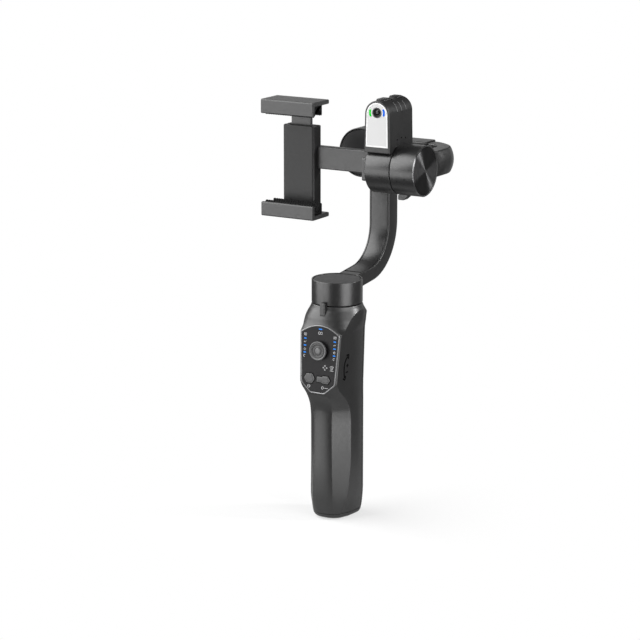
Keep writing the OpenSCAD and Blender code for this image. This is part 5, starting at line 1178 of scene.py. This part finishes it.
cut(tracker, [prism(round_outline(TILT_Y + k * HOLE_STEP, AXIS_Z + 22 - abs(k) * 0.8, SIDE_HOLE_R, 20), TX + 9.0,
                    TX + 12, sideways) for k in (-1, 0, 1)], 35)
cut(tracker, [prism(rounded(box_outline(TX, y, SEAT_W, n), 0.9, 4), SEAT_Z, AXIS_Z + 51, upright) for y, n in (
    (BUTTON_Y, BUTTON_L), (SWITCH_Y + SWITCH_TRAVEL / 2, SWITCH_L + SWITCH_TRAVEL))], 35)

# Tracker front: a white plastic plate glued inside a raised glossy white border, with a round window for the lens.
# The border follows the arch of the shell and is straight across below.
LENS_R, LENS_Z, BORDER_W = 3.7, CROWN_Z + 1.4, 1.1
face_white = finish("tracker_front_white", (0.68, 0.68, 0.68), (0.71, 0.71, 0.71), 0.4, depth=0.02, speck=0, wear=0)
border_white = finish("tracker_border_white", (0.88, 0.88, 0.88), (0.92, 0.92, 0.92), 0.22, depth=0.01, speck=0, wear=0,
                      coat=0.4)


def front_step(d, y):
    """One loop of the front: the arch drawn in by d, with its straight foot, at depth y from the tracker's front."""
    return [(x, TRACK_FRONT + y, max(z, FACE_LOW + d)) for x, z in drawn_in(arch_line, FACE_MARGIN + d)]


def lens_at(r, a, y):
    return (TX + r * math.cos(a), TRACK_FRONT + y, LENS_Z + r * math.sin(a))


border_rows = ((0.0, 1.0), (0.0, 0.1), (0.1, -0.06), (0.28, -0.14), (0.8, -0.14), (0.98, -0.06), (BORDER_W, 0.1),
               (BORDER_W, 0.9))
piece("tracker_front_border", loft([front_step(d, y) for d, y in border_rows], ring=True), "tilt_head",
      border_white, (), 50, False)
front = piece("tracker_front_plate", loft([front_step(BORDER_W - 0.05, y) for y in (0.9, 0.08)]), "tilt_head",
              face_white, ("tracker_face",), 30)
cut(front, [lathe([(0, -1), (LENS_R + 0.02, -1), (LENS_R + 0.02, 2), (0, 2)], lens_at, 96)], 35)

# Lens: a soft grey ring pressed into the window, a stepped black cone and a domed glass behind it. Beside it lie
# two short curved light pipes of tinted plastic, green on the left and blue on the right.
PIPE_R, PIPE_HALF_W, PIPE_TURN, PIPE_STEPS, GLASS_R = 5.55, 0.72, 54, 18, 1.85
lens_ring = finish("lens_ring_grey", grey(0.06), grey(0.09), 0.45, depth=0.03, speck=0, wear=0.2)
lens_cone = finish("lens_cone_black", grey(0.003), grey(0.005), 0.5, specular=0.3, depth=0.05, speck=0, wear=0)
lens_glass = finish("lens_glass_dark", (0.001, 0.001, 0.002), (0.002, 0.002, 0.004), 0.07, specular=0.6, depth=0,
                    speck=0, wear=0)
ring_rows = [(LENS_R, 0.9), (LENS_R, -0.02), (LENS_R - 0.15, -0.16), (LENS_R - 0.4, -0.2), (LENS_R - 0.6, -0.1),
             (LENS_R - 0.7, 0.2), (LENS_R - 0.7, 0.9)]
cone_rows = [(3.0, 0.1), (2.75, 0.25), (2.7, 0.5), (2.4, 0.55), (2.35, 0.8), (2.05, 0.85), (2.0, 1.2), (1.7, 1.25),
             (1.7, 2.0), (3.0, 2.0)]
glass_rows = [(0, 0.6), (0.8, 0.66), (1.4, 0.84), (GLASS_R, 1.1), (GLASS_R, 1.4), (0, 1.4)]
for name, rows, mat, node, sharp in (("lens_ring", ring_rows, lens_ring, ("tracker_lens",), 40),
                                     ("lens_cone", cone_rows, lens_cone, (), 35),
                                     ("lens_glass", glass_rows, lens_glass, (), 50)):
    piece(name, lathe(rows, lens_at, 96), "tilt_head", mat, node, sharp, False)
arc_green = lamp_finish("tracker_light_green", (0.0, 0.85, 0.03), 0.75)
arc_blue = lamp_finish("tracker_light_blue", (0.0, 0.17, 1.0), 0.75)
pipe_rows = ((-1, 0.4), (-1, 0.0), (-0.6, -0.06), (0.6, -0.06), (1, 0.0), (1, 0.4))
for name, middle, mat, node in (("green_light_arc", 184, arc_green, ("tracker_lights",)),
                                ("blue_light_arc", 4, arc_blue, ())):
    loops = []
    for k in range(PIPE_STEPS + 1):
        a = math.radians(middle - PIPE_TURN / 2 + PIPE_TURN * k / PIPE_STEPS)
        w = PIPE_HALF_W * math.sqrt(max(0.06, 1 - (k * 2 / PIPE_STEPS - 1) ** 8))
        loops.append([lens_at(PIPE_R + w * s, a, y) for s, y in pipe_rows])
    piece(name, loft(loops), "tilt_head", mat, node, 50, False)

# Tracker keys: a push button and a sliding switch in the top seats, both moulded from the shell's plastic with ribs
# across. Each rides on a small spring contact of the board below.
KEY_TOP, RIB_DROP, KEY_CLEAR = AXIS_Z + 49.8, 0.35, 0.35


def ribbed_key(name, y_mid, length, ribs, body, node, base):
    """A key with ribs across, from its base to KEY_TOP, whose long edges are rounded."""
    half = length / 2 - KEY_CLEAR
    step = 2 * half / ribs
    side = [(-half, base), (-half, KEY_TOP - 0.5)]
    for k in range(ribs):
        side += [(-half + step * (k + s), KEY_TOP - drop) for s, drop in (
            (0.12, RIB_DROP), (0.3, 0), (0.7, 0), (0.88, RIB_DROP))]
    side += [(half, KEY_TOP - 0.5), (half, base)]
    loops = [[(TX + x, y_mid + y, z if z == base else z - d) for y, z in side] for x, d in (
        (-3.3, 0.5), (-3.15, 0.2), (-2.8, 0.03), (0, 0), (2.8, 0.03), (3.15, 0.2), (3.3, 0.5))]
    piece(name, loft(loops), body, tracker_satin, (node,), 45, False)


ribbed_key("push_button_skin", BUTTON_Y, BUTTON_L, 3, "push_button", "tracker_button", AXIS_Z + 48.45)
ribbed_key("slide_switch_skin", SWITCH_Y, SWITCH_L, 5, "slide_switch", "tracker_switch", AXIS_Z + 48.1)

# Studio: a round white floor that keeps a soft shadow under the handle and fades into the white world, and five
# soft boxes and a small lamp that stand round the object. The camera has the photograph's viewing angle.
SEEN, MIRRORED, AMBIENT = 1.0, 0.12, 0.15
scene = bpy.context.scene
scene.view_settings.view_transform = "Standard"


def strength_by_ray(tree, mirrored, other):
    """White for the camera, `mirrored` for glossy and glass rays, and `other` for the rest."""
    t, link = tree.nodes, tree.links.new
    path, shiny, first, second = (t.new(k) for k in (
        "ShaderNodeLightPath", "ShaderNodeMath", "ShaderNodeMix", "ShaderNodeMix"))
    shiny.operation = "MAXIMUM"
    link(path.outputs["Is Glossy Ray"], shiny.inputs[0])
    link(path.outputs["Is Transmission Ray"], shiny.inputs[1])
    first.inputs["A"].default_value, first.inputs["B"].default_value = other, mirrored
    link(shiny.outputs[0], first.inputs["Factor"])
    second.inputs["B"].default_value = SEEN
    link(path.outputs["Is Camera Ray"], second.inputs["Factor"])
    link(first.outputs["Result"], second.inputs["A"])
    return second.outputs["Result"]


FLOOR_R, FLOOR_DROP, SHADOW_IN, SHADOW_OUT, PAPER_SHARE = 0.17, 0.0005, 0.035, 0.16, 0.4
FLOOR_MIRRORED, FLOOR_LIGHT = 0.35, 0.3
floor_white = bpy.data.materials.new("studio_floor_white")
floor_white.use_nodes = True
t, link = floor_white.node_tree.nodes, floor_white.node_tree.links.new
paper = t["Principled BSDF"]
paper.inputs["Base Color"].default_value = (0.9, 0.9, 0.9, 1)
paper.inputs["Roughness"].default_value = 0.9
paper.inputs["Specular IOR Level"].default_value = 0.1
glow, spot, away, fade, blend = (t.new(k) for k in (
    "ShaderNodeEmission", "ShaderNodeTexCoord", "ShaderNodeVectorMath", "ShaderNodeMapRange", "ShaderNodeMixShader"))
link(strength_by_ray(floor_white.node_tree, FLOOR_MIRRORED, FLOOR_LIGHT), glow.inputs["Strength"])
away.operation = "LENGTH"
link(spot.outputs["Object"], away.inputs[0])
fade.interpolation_type = "SMOOTHSTEP"
for label, value in (("From Min", SHADOW_IN), ("From Max", SHADOW_OUT), ("To Min", 1 - PAPER_SHARE), ("To Max", 1.0)):
    fade.inputs[label].default_value = value
link(away.outputs["Value"], fade.inputs["Value"])
link(fade.outputs["Result"], blend.inputs[0])
link(paper.outputs[0], blend.inputs[1])
link(glow.outputs[0], blend.inputs[2])
link(blend.outputs[0], t["Material Output"].inputs["Surface"])
floor_mesh = bpy.data.meshes.new("studio_floor")
bm = bmesh.new()
bmesh.ops.create_circle(bm, cap_ends=True, radius=FLOOR_R, segments=96)
bmesh.ops.translate(bm, verts=bm.verts, vec=(0, 0, -FLOOR_DROP))
bm.to_mesh(floor_mesh)
bm.free()
floor_mesh.materials.append(floor_white)
floor = placed("studio_floor", floor_mesh)
world = bpy.data.worlds.new("studio_world")
scene.world = world
world.use_nodes = True
sky = world.node_tree.nodes["Background"]
sky.inputs["Color"].default_value = (1, 1, 1, 1)
world.node_tree.links.new(strength_by_ray(world.node_tree, MIRRORED, AMBIENT), sky.inputs["Strength"])
AIM = Vector((0.01, 0, 0.17))
# Each soft box: degrees round from the front towards the right, degrees up, distance, width, height, brightness.
SOFT_BOXES = (("left_key", -62, 36, 1.3, 1.9, 1.4, 3.5), ("front_fill", -40, -9, 1.3, 1.7, 0.6, 2.2),
              ("right_side", 72, 6, 1.3, 1.05, 1.9, 2.8), ("back_right", 176, 0, 1.4, 0.6, 1.2, 0.4),
              ("back_left", 212, 20, 1.5, 0.6, 0.8, 0.5), ("disc_spark", 118, 26, 1.4, 0.28, 0.28, 36.0))
for name, turn, rise, distance, wide, high, bright in SOFT_BOXES:
    a, e = math.radians(turn), math.radians(rise)
    lamp = bpy.data.lights.new(name, "AREA")
    lamp.shape, lamp.size, lamp.size_y, lamp.energy = "RECTANGLE", wide, high, bright * math.pi * wide * high
    soft_box = placed(name, lamp)
    soft_box.location = AIM + distance * Vector((math.sin(a) * math.cos(e), -math.cos(a) * math.cos(e), math.sin(e)))
    soft_box.rotation_euler = (AIM - soft_box.location).to_track_quat("-Z", "Y").to_euler()
    soft_box.visible_camera = False
FOCAL, SENSOR, CAMERA_AT, LOOKS_DOWN, TURNED = 142.8, 36.0, (0.90783, -1.54226, 0.56525), 13.21, 30.88
lens = bpy.data.cameras.new("photo_camera")
lens.lens, lens.sensor_width, lens.sensor_fit, lens.clip_end = FOCAL, SENSOR, "HORIZONTAL", 20.0
camera = placed("photo_camera", lens)
camera.location = CAMERA_AT
camera.rotation_euler = (math.radians(90 - LOOKS_DOWN), 0, math.radians(TURNED))
scene.camera = camera

bpy.context.view_layer.update()
